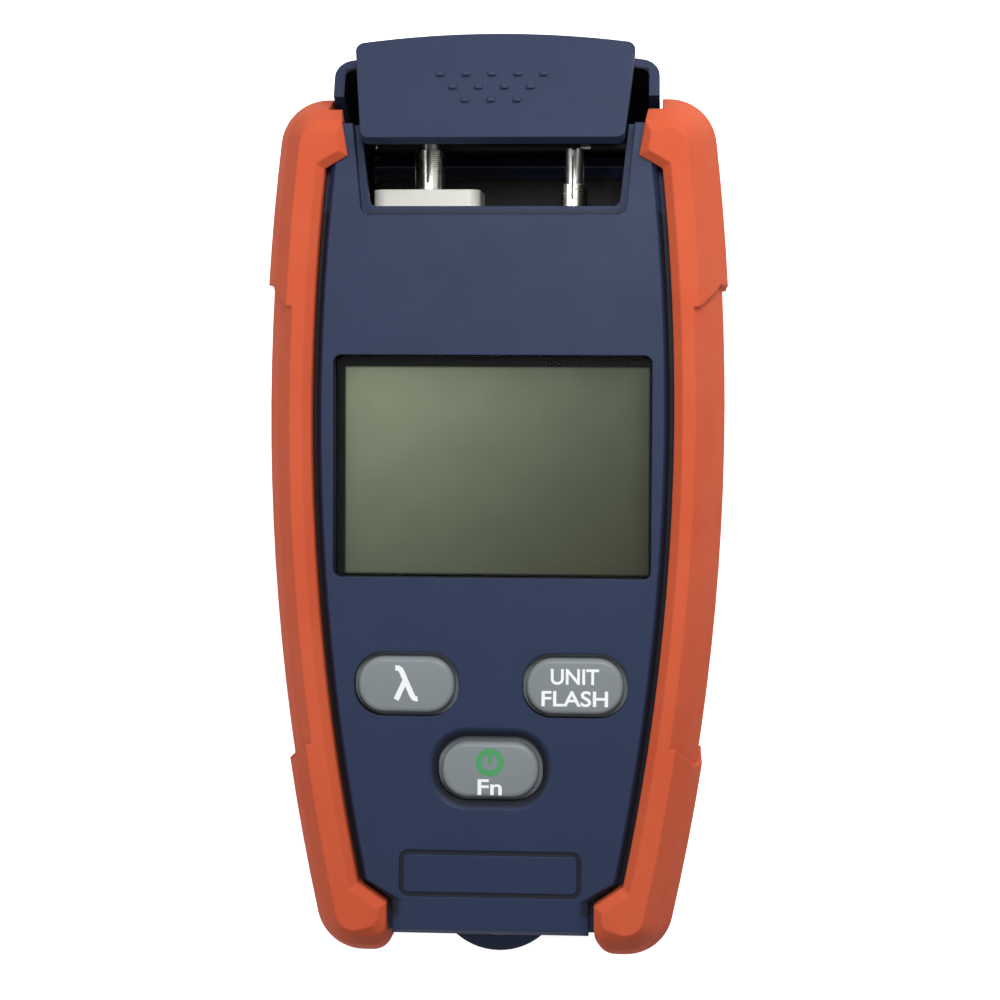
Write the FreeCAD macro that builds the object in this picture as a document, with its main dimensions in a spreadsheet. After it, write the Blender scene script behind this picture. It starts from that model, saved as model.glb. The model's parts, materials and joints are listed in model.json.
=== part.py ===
"""Handheld optical power meter: a parametric FreeCAD document, millimetres.

The meter lies on its back.  X runs across it, Y along it towards the ports, Z out
through its front.  The origin is the middle of its outline on the surface it lies on,
with the dust cap part open.
"""
import FreeCAD
import Part
import Sketcher
import math
import os

V = FreeCAD.Vector
UP = V(0, 0, 1)
MARGIN = 1.0  # how far a cut runs past what it opens
COILS = 3  # turns of a contact spring
DOC = FreeCAD.newDocument("power_meter")

# Every driving dimension: name -> (millimetres or degrees, what it is)
DIMENSIONS = {
    # overall
    "grip_length": (143.6, "length over the two side grips"),
    "half_width": (38.2, "half the width over the waist of the grips"),
    "thickness": (36.0, "rear of the grips to the ridge on their front"),
    "housing_middle": (-3.835, "middle of the grips, seen from the origin"),
    "side_radius": (390.0, "radius of the long bowed sides"),
    "widest_point": (18.6, "widest point above the middle of the grips"),
    # side grips
    "grip_width": (8.4, "width of a grip in front"),
    "grip_wall": (3.9, "rubber beside the housing"),
    "pad_swell": (1.0, "how far the thumb pads stand out of the waist"),
    "pad_upper": (36.8, "lower end of the upper pad above the middle"),
    "pad_lower": (35.2, "upper end of the lower pad below the middle"),
    "pad_slant": (4.0, "lean of the pad ends over their height"),
    "pad_slant_depth": (8.5, "height over which the pad ends lean"),
    "ridge_run": (2.8, "width of the outer facet"),
    "ridge_drop": (5.7, "drop of the outer facet"),
    "flank_run": (2.15, "width of the flank facet"),
    "flank_drop": (6.6, "drop of the flank facet"),
    "inner_bevel": (1.35, "bevel along the inner edge of a grip"),
    "back_bevel": (2.4, "bevel along the rear edge of a grip"),
    "grip_corner": (8.0, "outer corner radius of a grip"),
    "hook_tip_x": (23.8, "tip of the upper hook from the centre line"),
    "hook_tip_drop": (10.3, "tip of the upper hook below the top of the grip"),
    "hook_root_drop": (12.5, "root of the upper hook below the top of the grip"),
    "hook_end_x": (25.6, "upper hook at the top of the grip"),
    "foot_x": (17.2, "inner end of the lower hook"),
    "foot_root": (13.5, "root of the lower hook above the bottom of the grip"),
    "foot_rise": (10.2, "corner of the lower hook above the bottom of the grip"),
    "foot_corner": (3.4, "corner radius at the end of the lower hook"),
    "corner_taper": (0.3, "corner radius lost for each millimetre up the facets"),
    "foot_back": (4.6, "how much further the lower hook wraps at the rear"),
    "foot_back_height": (14.0, "height of that wrap above the rear"),
    "foot_back_edge": (0.6, "edge at the end of that wrap"),
    "seat_gap": (0.15, "clearance between the rubber and the housing"),
    # housing shells
    "top_inset": (5.0, "top of the housing below the top of the grips"),
    "bottom_inset": (5.1, "bottom of the housing above the bottom of the grips"),
    "grip_proud": (1.8, "ridge of the grips above the front face"),
    "face_gap": (0.9, "dark gap between the front face and the grips"),
    "shoulder": (3.6, "front face above the shoulder under the grips"),
    "back_face": (0.5, "rear face above the surface"),
    "back_lip": (2.5, "rubber lip that wraps the rear"),
    "parting": (17.0, "height of the joint between the two shells"),
    "wall": (2.0, "wall of the shells"),
    "thin_wall": (0.9, "wall beside the raised front face"),
    "core_corner": (4.0, "corner radius of the shells under the grips"),
    "face_bevel": (0.8, "bevel round the front face"),
    "foot_bevel": (1.8, "wider bevel of the front face between the lower hooks"),
    "back_wall": (2.4, "wall of the rear shell behind the battery tub"),
    # port bay and ledge
    "bay_half": (22.6, "half width of the port bay"),
    "bay_wall": (1.4, "side wall of the port bay"),
    "bay_depth": (13.8, "bay floor below the top of the housing"),
    "floor_plate": (2.0, "bulkhead under the bay"),
    "bay_front": (29.6, "height of the inside of the bay front"),
    "channel_depth": (7.6, "slots for the cap arms below the top"),
    "notch_top": (22.0, "half width of the notch at the top"),
    "notch_low": (20.6, "half width of the notch at its foot"),
    "notch_depth": (13.3, "foot of the notch below the top"),
    "ledge_low": (1.6, "ledge at the foot of the notch"),
    # dust cap
    "cap_half": (27.0, "half width of the cap"),
    "cap_wall": (1.8, "wall of the cap"),
    "cap_crown": (71.4, "top of the cap above the middle, closed"),
    "cap_arch": (150.0, "radius of the bowed top of the cap"),
    "cap_corner": (3.2, "corner radius of the cap"),
    "spine": (3.4, "thickness of the rounded rear of the cap"),
    "spine_below": (0.5, "rounded rear of the cap below the hinge axis"),
    "skirt_low": (21.4, "half width of the skirt at its foot"),
    "skirt_flare": (0.09, "widening of the skirt for each millimetre up"),
    "skirt_thick": (2.4, "thickness of the skirt"),
    "skirt_gap": (0.3, "clearance round the skirt when closed"),
    "skirt_corner": (1.3, "corner radius at the foot of the skirt"),
    "skirt_brow": (1.5, "corner radius at the top of the skirt"),
    "cap_room": (0.5, "side clearance of the cap arms"),
    "cap_side_front": (29.2, "height of the front of the cap sides, closed"),
    "cap_open": (23.0, "how far the cap stands open at rest, degrees"),
    "hinge_up": (65.6, "hinge axis above the middle of the grips"),
    "hinge_height": (6.2, "hinge axis above the surface"),
    "hinge_swing": (6.0, "radius of the rounded rear of the cap"),
    "hinge_stand": (1.0, "bay walls beside the hinge start above its axis"),
    "cap_full": (120.0, "how far the cap can open in all, degrees"),
    "arm_below": (3.0, "cap arms below the hinge axis"),
    "barrel": (3.4, "diameter of the hinge barrel"),
    "barrel_left": (22.2, "left end of the cap's barrel"),
    "barrel_right": (13.2, "right end of the cap's barrel"),
    "lug_left": (15.0, "inner end of the housing's barrel"),
    "pin": (1.6, "hinge pin diameter"),
    "pin_fit": (0.1, "radial clearance of the pin in the cap"),
    # ports
    "detector_x": (12.0, "detector port left of the centre line"),
    "fault_x": (12.6, "visual fault port right of the centre line"),
    "flange_width": (18.0, "detector flange across"),
    "flange_deep": (13.0, "detector flange front to back"),
    "flange_thick": (3.9, "detector flange plate"),
    "flange_corner": (2.0, "corner radius of the flange"),
    "neck": (5.1, "detector barrel diameter"),
    "neck_rise": (10.9, "detector barrel above the bay floor"),
    "sleeve": (3.2, "split sleeve outer diameter"),
    "ferrule": (2.51, "bore for the ferrule"),
    "sleeve_rise": (14.2, "detector sleeve above the bay floor"),
    "split": (0.8, "slot in the sleeves and barrels"),
    "fault_neck": (4.5, "fault port barrel diameter"),
    "fault_neck_rise": (5.2, "fault port barrel above the bay floor"),
    "fault_rise": (11.2, "fault port sleeve above the bay floor"),
    "collar": (7.4, "collar of a barrel under the bulkhead"),
    "collar_thick": (1.6, "thickness of that collar"),
    "module": (7.4, "diode housings behind the ports"),
    "module_rim": (0.4, "rim that seats a diode housing"),
    "detector_long": (8.0, "length of the photodiode housing"),
    "laser_long": (18.0, "length of the laser housing"),
    # display
    "window_wide": (52.4, "display opening across"),
    "window_high": (36.6, "display opening along"),
    "window_drop": (37.8, "display opening below the top of the housing"),
    "window_corner": (1.3, "corner radius of the opening"),
    "lens_lap": (0.6, "window glued behind the edge of the opening"),
    "lens_thick": (1.2, "window thickness"),
    "glass_thick": (2.8, "display glass thickness"),
    "glass_gap": (0.35, "display glass inside the opening"),
    "frame_wall": (0.5, "wall of the display frame"),
    "stack_gap": (0.2, "gap between the parts of the display"),
    "zebra": (2.4, "width of the rubber connector strips"),
    "light_thick": (2.0, "backlight thickness"),
    # keys
    "key_long": (16.3, "key across"),
    "key_high": (9.6, "key along"),
    "key_corner": (4.3, "corner radius of a key"),
    "key_gap": (0.5, "gap round a key"),
    "key_proud": (1.0, "key above the front face"),
    "key_flange": (1.0, "flange that keeps a key in"),
    "key_round": (0.6, "bevelled rim of a key"),
    "key_pitch": (13.9, "upper keys from the centre line"),
    "key_row": (25.2, "upper keys below the middle of the grips"),
    "power_row": (39.1, "power key below the middle of the grips"),
    "stem": (4.0, "stem under a key"),
    "travel_room": (0.9, "room between a stem and its switch"),
    "switch_size": (6.0, "switch body"),
    "switch_high": (3.5, "switch body height"),
    "button": (3.4, "switch button diameter"),
    "button_high": (0.8, "switch button height"),
    "dish_wide": (1.5, "sloping dish round the power key"),
    "dish_deep": (0.9, "depth of that dish at the key"),
    "groove": (0.8, "width of the groove round the name field"),
    "groove_deep": (0.5, "depth of that groove"),
    "plate_long": (30.2, "bare name field across"),
    "plate_high": (7.8, "bare name field along"),
    "plate_row": (56.6, "name field below the middle of the grips"),
    "plate_corner": (1.6, "corner radius of the name field"),
    # circuit board
    "board_low": (21.0, "underside of the circuit board"),
    "board_thick": (1.6, "circuit board thickness"),
    "board_gap": (0.8, "gap between the board and the shell walls"),
    "board_top": (40.6, "upper edge of the board above the middle"),
    "board_bottom": (46.9, "lower edge of the board below the middle"),
    "post_x": (22.0, "board posts from the centre line"),
    "post_inset": (3.5, "board posts inside its upper and lower edge"),
    "post": (4.4, "board post across"),
    # batteries
    "cell": (14.2, "battery cell diameter"),
    "cell_long": (50.0, "battery cell length with its nub"),
    "cell_nub": (5.2, "nub diameter"),
    "cell_nub_high": (1.2, "nub height"),
    "cell_gap": (0.4, "gap between the cells"),
    "tub_wall": (1.5, "wall of the battery tub"),
    "tub_middle": (26.9, "middle of the battery tub below the middle"),
    "spring_room": (6.0, "room for the contact springs"),
    "spring": (7.0, "contact spring diameter"),
    "contact": (0.5, "contact plate thickness"),
    "contact_wide": (11.4, "contact plate across one cell"),
    "link_high": (1.6, "strip that joins the two contact plates"),
    "spring_tip": (4.6, "contact spring diameter at its tip"),
    "wire": (0.8, "contact spring wire"),
    "spring_slack": (0.4, "room between a spring's tip and its cell"),
    "door_lap": (1.3, "door beyond the opening of the tub"),
    "door_thick": (2.0, "door thickness"),
    "door_gap": (0.15, "gap round the door"),
    "door_corner": (2.0, "corner radius of the door"),
    "thumb_long": (12.0, "thumb recess across"),
    "thumb_high": (6.0, "thumb recess along"),
    "thumb_deep": (0.8, "thumb recess depth"),
    # screws
    "screw_upper_x": (21.5, "upper housing screws from the centre line"),
    "screw_lower_x": (13.0, "lower housing screws from the centre line"),
    "screw_upper": (45.1, "upper housing screws above the middle"),
    "screw_lower": (60.3, "lower housing screws below the middle"),
    "boss": (5.6, "screw boss diameter"),
    "screw_head": (4.8, "screw head diameter"),
    "head_high": (1.5, "screw head height"),
    "shank": (2.4, "screw shank diameter"),
    "screw_long": (21.0, "housing screw length under its head"),
    "boss_block": (7.6, "square block round a screw head"),
    "screw_fit": (0.05, "radial clearance of a screw in its boss"),
    "screw_free": (0.1, "radial clearance of a screw in the rear shell"),
    "head_free": (0.2, "radial clearance of a screw head"),
    "head_sunk": (1.2, "screw head below the rear face"),
    "board_screw_long": (5.0, "board screw length under its head"),
    "board_shank": (1.9, "board screw shank diameter"),
    "board_head": (3.8, "board screw head diameter"),
    "board_head_high": (1.0, "board screw head height"),
    # lanyard lug
    "lug_half": (11.0, "half width of the lanyard lug"),
    "lug_out": (7.5, "lug below the bottom of the housing"),
    "lug_bar": (2.6, "bar of the lug"),
    "lug_end": (3.4, "lug beside its slot"),
    "lug_low": (3.0, "underside of the lug"),
    "lug_high": (12.0, "top of the lug"),
}


class Size:
    """A length with its number and the sheet formula that drives it."""

    def __init__(self, value, text):
        self.value = value
        self.text = text

    @staticmethod
    def of(other):
        if isinstance(other, Size):
            return other
        return Size(float(other), repr(float(other)))

    def __add__(self, other):
        other = Size.of(other)
        return Size(self.value + other.value, f"({self.text} + {other.text})")

    def __sub__(self, other):
        other = Size.of(other)
        return Size(self.value - other.value, f"({self.text} - {other.text})")

    def __mul__(self, other):
        other = Size.of(other)
        return Size(self.value * other.value, f"({self.text} * {other.text})")

    def __truediv__(self, other):
        other = Size.of(other)
        return Size(self.value / other.value, f"({self.text} / {other.text})")

    def __neg__(self):
        return 0.0 - self

    def __radd__(self, other):
        return Size.of(other) + self

    def __rsub__(self, other):
        return Size.of(other) - self

    def __rmul__(self, other):
        return Size.of(other) * self

    def __rtruediv__(self, other):
        return Size.of(other) / self


ZERO = Size(0.0, "0.0")


def root(size):
    """Square root of a size."""
    return Size(math.sqrt(size.value), f"sqrt({size.text})")


def sine(angle):
    """Sine of an angle in degrees."""
    return Size(math.sin(math.radians(angle.value)), f"sin({angle.text})")


def cosine(angle):
    """Cosine of an angle in degrees."""
    return Size(math.cos(math.radians(angle.value)), f"cos({angle.text})")


def fill_sheet():
    """Write the driving dimensions into the sheet and return them by name."""
    sheet = DOC.addObject("Spreadsheet::Sheet", "dims")
    sizes = {}
    for row, (name, (value, note)) in enumerate(DIMENSIONS.items(), start=1):
        sheet.set(f"A{row}", name)
        sheet.set(f"B{row}", str(value))
        sheet.setAlias(f"B{row}", name)
        sheet.set(f"C{row}", note)
        sizes[name] = Size(float(value), f"dims.{name}")
    DOC.recompute()
    return sizes


D = fill_sheet()


# ---------------------------------------------------------------- sketching helpers

# plane -> (role of the origin plane, sign of its normal along the third axis)
PLANES = {"XY": ("XY_Plane", 1), "XZ": ("XZ_Plane", -1), "YZ": ("YZ_Plane", 1)}


class Corner:
    """A corner of an outline: its place, its radius, and a bow of the edge after it."""

    def __init__(self, across, up, radius=0, bow=None):
        self.across = Size.of(across)
        self.up = Size.of(up)
        self.radius = Size.of(radius)
        self.bow = bow

    @property
    def point(self):
        return V(self.across.value, self.up.value, 0)


def new_body(label):
    body = DOC.addObject("PartDesign::Body", label)
    body.Label = label
    return body


def new_sketch(body, plane, level):
    """A sketch on one of the body's own origin planes, lifted to a level."""
    role, sign = PLANES[plane]
    sketch = body.newObject("Sketcher::SketchObject", f"{body.Name}_sketch")
    support = next(f for f in body.Origin.OriginFeatures if f.Role == role)
    sketch.AttachmentSupport = [(support, "")]
    sketch.MapMode = "FlatFace"
    level = Size.of(level) * sign
    sketch.setExpression("AttachmentOffset.Base.z", level.text)
    return sketch


def bind(sketch, kind, *where):
    """Add a dimension whose last entry is a size, and bind it to the sheet."""
    size = where[-1]
    index = sketch.addConstraint(Sketcher.Constraint(kind, *where[:-1], size.value))
    sketch.setExpression(f"Constraints[{index}]", size.text)


def pin_point(sketch, geometry, point, across, up):
    bind(sketch, "DistanceX", -1, 1, geometry, point, Size.of(across))
    bind(sketch, "DistanceY", -1, 1, geometry, point, Size.of(up))


def heading(here, there, bow, leaving):
    """Direction in which an edge leaves a corner, along its bow if it has one."""
    along = (there - here).normalize()
    if bow is None:
        return along
    radius, inwards = bow
    lean = math.asin((there - here).Length / 2 / radius.value)
    if leaving != inwards:
        lean = -lean
    return V(along.x * math.cos(lean) - along.y * math.sin(lean),
             along.x * math.sin(lean) + along.y * math.cos(lean), 0)


def corner_ends(before, corner, after):
    """Where the rounding of a corner starts and ends, and its centre."""
    point = corner.point
    back = heading(point, before.point, before.bow, leaving=False)
    ahead = heading(point, after.point, corner.bow, leaving=True)
    half = back.getAngle(ahead) / 2
    reach = corner.radius.value / math.tan(half)
    centre = point + (back + ahead).normalize() * (corner.radius.value / math.sin(half))
    return point + back * reach, point + ahead * reach, centre


def bowed_edge(start, end, radius):
    """An arc that bows to the right of the way from start to end."""
    chord = end - start
    side = V(chord.y, -chord.x, 0).normalize()
    middle = (start + end) * 0.5
    sagitta = radius - math.sqrt(radius ** 2 - (chord.Length / 2) ** 2)
    centre = middle + side * (sagitta - radius)
    first = math.atan2(start.y - centre.y, start.x - centre.x)
    last = math.atan2(end.y - centre.y, end.x - centre.x)
    return Part.ArcOfCircle(Part.Circle(centre, UP, radius), first, last)


def hollow_edge(start, end, radius):
    """An arc that bows to the left of the way from start to end."""
    return bowed_edge(end, start, radius)


def draw(sketch, corners):
    """Draw a closed outline of straight, bowed and rounded stretches, fully bound."""
    count = len(corners)
    ends = []
    for index, corner in enumerate(corners):
        if corner.radius.value > 0:
            ends.append(corner_ends(corners[index - 1], corner, corners[(index + 1) % count]))
        else:
            ends.append((corner.point, corner.point, None))
    edges = []
    for index, corner in enumerate(corners):
        start = ends[index][1]
        end = ends[(index + 1) % count][0]
        if corner.bow is None:
            edges.append((sketch.addGeometry(Part.LineSegment(start, end)), 1, 2))
            continue
        radius, inwards = corner.bow
        shape = hollow_edge if inwards else bowed_edge
        edge = sketch.addGeometry(shape(start, end, radius.value))
        edges.append((edge, 2, 1) if inwards else (edge, 1, 2))
    for index, corner in enumerate(corners):
        before, _, before_end = edges[index - 1]
        after, after_start, _ = edges[index]
        if corner.radius.value > 0:
            start, end, centre = ends[index]
            arc, first, last = add_rounding(sketch, start, end, centre, corner.radius.value)
            sketch.addConstraint(Sketcher.Constraint("Tangent", before, before_end, arc, first))
            sketch.addConstraint(Sketcher.Constraint("Tangent", arc, last, after, after_start))
            bind(sketch, "Radius", arc, corner.radius)
            spot = sketch.addGeometry(Part.Point(corner.point), True)
            sketch.addConstraint(Sketcher.Constraint("PointOnObject", spot, 1, before))
            sketch.addConstraint(Sketcher.Constraint("PointOnObject", spot, 1, after))
            pin_point(sketch, spot, 1, corner.across, corner.up)
        else:
            sketch.addConstraint(
                Sketcher.Constraint("Coincident", before, before_end, after, after_start))
            pin_point(sketch, after, after_start, corner.across, corner.up)
        if corner.bow is not None:
            bind(sketch, "Radius", after, corner.bow[0])


def add_rounding(sketch, start, end, centre, radius):
    """A corner arc, with which of its ends comes first along the outline."""
    first = math.atan2(start.y - centre.y, start.x - centre.x)
    last = math.atan2(end.y - centre.y, end.x - centre.x)
    circle = Part.Circle(centre, UP, radius)
    if (start - centre).cross(end - centre).z > 0:
        return sketch.addGeometry(Part.ArcOfCircle(circle, first, last)), 1, 2
    return sketch.addGeometry(Part.ArcOfCircle(circle, last, first)), 2, 1


def draw_circle(sketch, across, up, diameter):
    circle = Part.Circle(V(Size.of(across).value, Size.of(up).value, 0), UP,
                         diameter.value / 2)
    index = sketch.addGeometry(circle)
    pin_point(sketch, index, 3, across, up)
    bind(sketch, "Radius", index, diameter / 2)


def rectangle(across, up, wide, high, radius=0):
    """Corners of a rectangle about its middle."""
    half_wide = Size.of(wide) / 2
    half_high = Size.of(high) / 2
    signs = ((-1, -1), (1, -1), (1, 1), (-1, 1))
    return [Corner(across + half_wide * i, up + half_high * j, radius) for i, j in signs]


def span(left, right, low, high):
    """Corners of a rectangle between two places across and two along."""
    return [Corner(left, low), Corner(right, low), Corner(right, high), Corner(left, high)]


def extrude(body, loops, low, high, plane="XY", cut=False):
    """Pad or pocket closed loops between two levels along the plane's normal axis.

    A loop is a list of corners, or a tuple (across, up, diameter) for a circle.
    """
    sketch = new_sketch(body, plane, low)
    for loop in loops:
        if isinstance(loop, tuple):
            draw_circle(sketch, *loop)
        else:
            draw(sketch, loop)
    kind = "PartDesign::Pocket" if cut else "PartDesign::Pad"
    before = body.Shape.Volume if body.Tip else 0.0
    feature = body.newObject(kind, f"{body.Name}_{'pocket' if cut else 'pad'}")
    feature.Profile = sketch
    feature.setExpression("Length", (Size.of(high) - low).text)
    towards_axis = PLANES[plane][1] > 0
    feature.Reversed = towards_axis if cut else not towards_axis
    DOC.recompute()
    change = body.Shape.Volume - before
    if (change >= -1e-6) if cut else (change <= 1e-6):
        raise RuntimeError(f"{feature.Name} changes nothing")
    return feature


def cut(body, loops, low, high, plane="XY"):
    return extrude(body, loops, low, high, plane, cut=True)


def turn(body, corners, about="V_Axis", cut_away=False):
    """Turn an outline drawn in the XZ plane about the body's own Z axis."""
    sketch = new_sketch(body, "XZ", 0)
    draw(sketch, corners)
    kind = "PartDesign::Groove" if cut_away else "PartDesign::Revolution"
    feature = body.newObject(kind, f"{body.Name}_turned")
    feature.Profile = sketch
    feature.ReferenceAxis = (sketch, [about])
    feature.Angle = 360
    DOC.recompute()
    return feature


def edge_names(body, wanted):
    """Names of the edges of a body whose middle point passes a test."""
    names = []
    for index, edge in enumerate(body.Shape.Edges, start=1):
        middle = edge.valueAt((edge.FirstParameter + edge.LastParameter) / 2)
        if wanted(edge, middle):
            names.append(f"Edge{index}")
    if not names:
        raise RuntimeError(f"{body.Label}: no edge found to dress")
    return names


def dress(body, kind, names, **sizes):
    """Fillet or chamfer the named edges with sizes bound to the sheet."""
    base = body.Tip
    feature = body.newObject(f"PartDesign::{kind}", f"{body.Name}_{kind.lower()}")
    feature.Base = (base, names)
    for name, size in sizes.items():
        if isinstance(size, Size):
            setattr(feature, name, size.value)
            feature.setExpression(name, size.text)
        else:
            setattr(feature, name, size)
    DOC.recompute()
    return feature


def upright(edge):
    """Whether an edge is straight and runs along Z."""
    box = edge.BoundBox
    return box.XLength < 1e-6 and box.YLength < 1e-6


def level_edge(edge, height):
    box = edge.BoundBox
    return abs(box.ZMin - height.value) < 1e-6 and abs(box.ZMax - height.value) < 1e-6


def place(body, across, along, height):
    """Set a body down at a place bound to the sheet."""
    body.setExpression("Placement.Base.x", Size.of(across).text)
    body.setExpression("Placement.Base.y", Size.of(along).text)
    body.setExpression("Placement.Base.z", Size.of(height).text)
    DOC.recompute()
    return body


def lay_along(body, across, along, height):
    """Lay a body made about its Z axis so that the axis points along +Y."""
    body.Placement = FreeCAD.Placement(V(0, 0, 0), FreeCAD.Rotation(V(1, 0, 0), -90))
    return place(body, across, along, height)


def boolean(kind, label, base, tool):
    result = DOC.addObject(f"Part::{kind}", label)
    result.Label = label
    result.Base = base
    result.Tool = tool
    DOC.recompute()
    return result


# ---------------------------------------------------------------- shared places

MIDDLE = D["housing_middle"]
GRIP_TOP = MIDDLE + D["grip_length"] / 2
GRIP_BOTTOM = MIDDLE - D["grip_length"] / 2
TOP = GRIP_TOP - D["top_inset"]
BOTTOM = GRIP_BOTTOM + D["bottom_inset"]
WAIST = MIDDLE + D["widest_point"]
FACE = D["thickness"] - D["grip_proud"]
SHOULDER = FACE - D["shoulder"]
BACK_SHOULDER = D["back_lip"] + D["seat_gap"]
INSIDE_FACE = FACE - D["wall"]
BACK_INSIDE = D["back_face"] + D["back_wall"]
BAY_FLOOR = TOP - D["bay_depth"]
CAVITY_TOP = BAY_FLOOR - D["floor_plate"]
CAVITY_BOTTOM = BOTTOM + D["wall"]
HINGE_Y = MIDDLE + D["hinge_up"]
HINGE_Z = D["hinge_height"]
ARM_ROOM = D["cap_half"] + D["cap_room"]
SKIRT_FOOT = TOP - D["notch_depth"] - D["ledge_low"] + D["skirt_gap"]
DOOR_TOP = D["back_face"] + D["door_thick"]
CELL_X = (D["cell"] + D["cell_gap"]) / 2
CELL_Z = DOOR_TOP + D["stack_gap"] + D["cell"] / 2
TUB_CEILING = CELL_Z + D["cell"] / 2 + D["stack_gap"]
TUB_WIDE = D["cell"] * 2 + D["cell_gap"] * 3
TUB_LONG = D["cell_long"] + D["spring_room"] + D["contact"] + D["stack_gap"]
TUB_Y = MIDDLE - D["tub_middle"]
BOARD_TOP = D["board_low"] + D["board_thick"]
SWITCH_TOP = BOARD_TOP + D["switch_high"] + D["button_high"]
WINDOW_Y = TOP - D["window_drop"] - D["window_high"] / 2
FACE_INSET = D["grip_width"] + D["face_gap"]
ROOT_Y = GRIP_BOTTOM + D["foot_root"]
FOOT_Y = GRIP_BOTTOM + D["foot_rise"]


def side(inset, along):
    """Distance of a bowed side from the centre line, at a place along the meter."""
    radius = D["side_radius"] - inset
    offset = along - WAIST
    return D["half_width"] - inset - radius + root(radius * radius - offset * offset)


def bow(inset, inwards=False):
    return (D["side_radius"] - inset, inwards)


def shell_outline(inset, low, high):
    """The bowed outline of the housing, inset from the sides of the grips."""
    return [
        Corner(-side(inset, low), low),
        Corner(side(inset, low), low, bow=bow(inset)),
        Corner(side(inset, high), high),
        Corner(-side(inset, high), high, bow=bow(inset)),
    ]


def face_outline(inset, low, high, foot_half):
    """The outline of the front or rear face, narrowed between the lower hooks."""
    root_y = ROOT_Y + D["face_gap"] / 2
    foot_y = FOOT_Y + D["face_gap"] / 2
    return [
        Corner(-foot_half, low),
        Corner(foot_half, low),
        Corner(foot_half, foot_y),
        Corner(side(inset, root_y), root_y, bow=bow(inset)),
        Corner(side(inset, high), high),
        Corner(-side(inset, high), high, bow=bow(inset)),
        Corner(-side(inset, root_y), root_y),
        Corner(-foot_half, foot_y),
    ]


def round_core(body, grow):
    """Round the four upright corners of the housing, or of the space for it."""
    dress(body, "Fillet", edge_names(body, lambda edge, middle: upright(edge)),
          Radius=D["core_corner"] + grow)


# ---------------------------------------------------------------- side grips

class Edge:
    """One edge of the grip outline: straight, or bowed about the shared centre."""

    def __init__(self, outward=None):
        self.outward = outward

    def normal(self, start, end, at):
        """Unit normal into the rubber at one end of the edge."""
        if self.outward is None:
            along = (end - start).normalize()
            return V(-along.y, along.x, 0)
        centre = V(D["half_width"].value - D["side_radius"].value, WAIST.value, 0)
        radial = (at - centre).normalize()
        return radial * (-1 if self.outward else 1)


def inset_corner(before, corner, after, edges, insets):
    """Move a corner inwards by the insets of the two edges that meet there."""
    first = edges[0].normal(before.point, corner.point, corner.point)
    second = edges[1].normal(corner.point, after.point, corner.point)
    turn_of = first.x * second.y - first.y * second.x
    move_x = insets[0] * (second.y / turn_of) - insets[1] * (first.y / turn_of)
    move_y = insets[1] * (first.x / turn_of) - insets[0] * (second.x / turn_of)
    return corner.across + move_x, corner.up + move_y


def grip_section(swell, outside, inside):
    """The outline of the right grip, inset along its outside and its inside."""
    outer = outside - swell
    inner = D["grip_width"] + inside
    root_y = GRIP_TOP - D["hook_root_drop"]
    corner = D["grip_corner"] - outside
    base = [
        Corner(D["foot_x"], GRIP_BOTTOM, D["foot_corner"] - outside * D["corner_taper"]),
        Corner(side(outer, GRIP_BOTTOM + outside), GRIP_BOTTOM + outside, corner, bow(outer)),
        Corner(side(outer, GRIP_TOP - outside), GRIP_TOP - outside, corner),
        Corner(D["hook_end_x"], GRIP_TOP),
        Corner(D["hook_tip_x"], GRIP_TOP - D["hook_tip_drop"]),
        Corner(side(D["grip_width"], root_y), root_y, bow=bow(inner, inwards=True)),
        Corner(side(D["grip_width"], ROOT_Y), ROOT_Y),
        Corner(D["foot_x"], FOOT_Y),
    ]
    edges = [Edge(), Edge(True), Edge(), Edge(), Edge(), Edge(False), Edge(), Edge()]
    insets = [outside] * 3 + [inside] * 5
    outline = []
    for index, spot in enumerate(base):
        if index in (1, 2):
            outline.append(spot)
            continue
        across, up = inset_corner(base[index - 1], spot, base[(index + 1) % len(base)],
                                  (edges[index - 1], edges[index]),
                                  (insets[index - 1], insets[index]))
        outline.append(Corner(across, up, spot.radius, spot.bow))
    return outline


def loft(body, sections, cutting=False):
    """Add or cut a ruled loft through outlines at rising levels."""
    sketches = []
    for level, corners in sections:
        sketch = new_sketch(body, "XY", level)
        draw(sketch, corners)
        sketches.append(sketch)
    DOC.recompute()
    kind = "PartDesign::SubtractiveLoft" if cutting else "PartDesign::AdditiveLoft"
    feature = body.newObject(kind, f"{body.Name}_loft")
    feature.Profile = sketches[0]
    feature.Sections = sketches[1:]
    feature.Ruled = True
    DOC.recompute()
    return feature


def grip_bar(label, swell):
    """A full-depth bar with the grip's outline, facets and bevels."""
    body = new_body(label)
    none = ZERO
    ridge = D["thickness"]
    flank_foot = ridge - D["ridge_drop"] - D["flank_drop"]
    facet_foot = ridge - D["ridge_drop"]
    bevel_foot = ridge - D["inner_bevel"]
    part_way = (D["flank_run"] + D["ridge_run"]
                - D["ridge_run"] * D["inner_bevel"] / D["ridge_drop"])
    loft(body, [
        (none, grip_section(swell, D["back_bevel"], none)),
        (D["back_bevel"], grip_section(swell, none, none)),
        (flank_foot, grip_section(swell, none, none)),
        (facet_foot, grip_section(swell, D["flank_run"], none)),
        (bevel_foot, grip_section(swell, part_way, none)),
        (ridge, grip_section(swell, D["flank_run"] + D["ridge_run"], D["inner_bevel"])),
    ])
    return body


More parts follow.
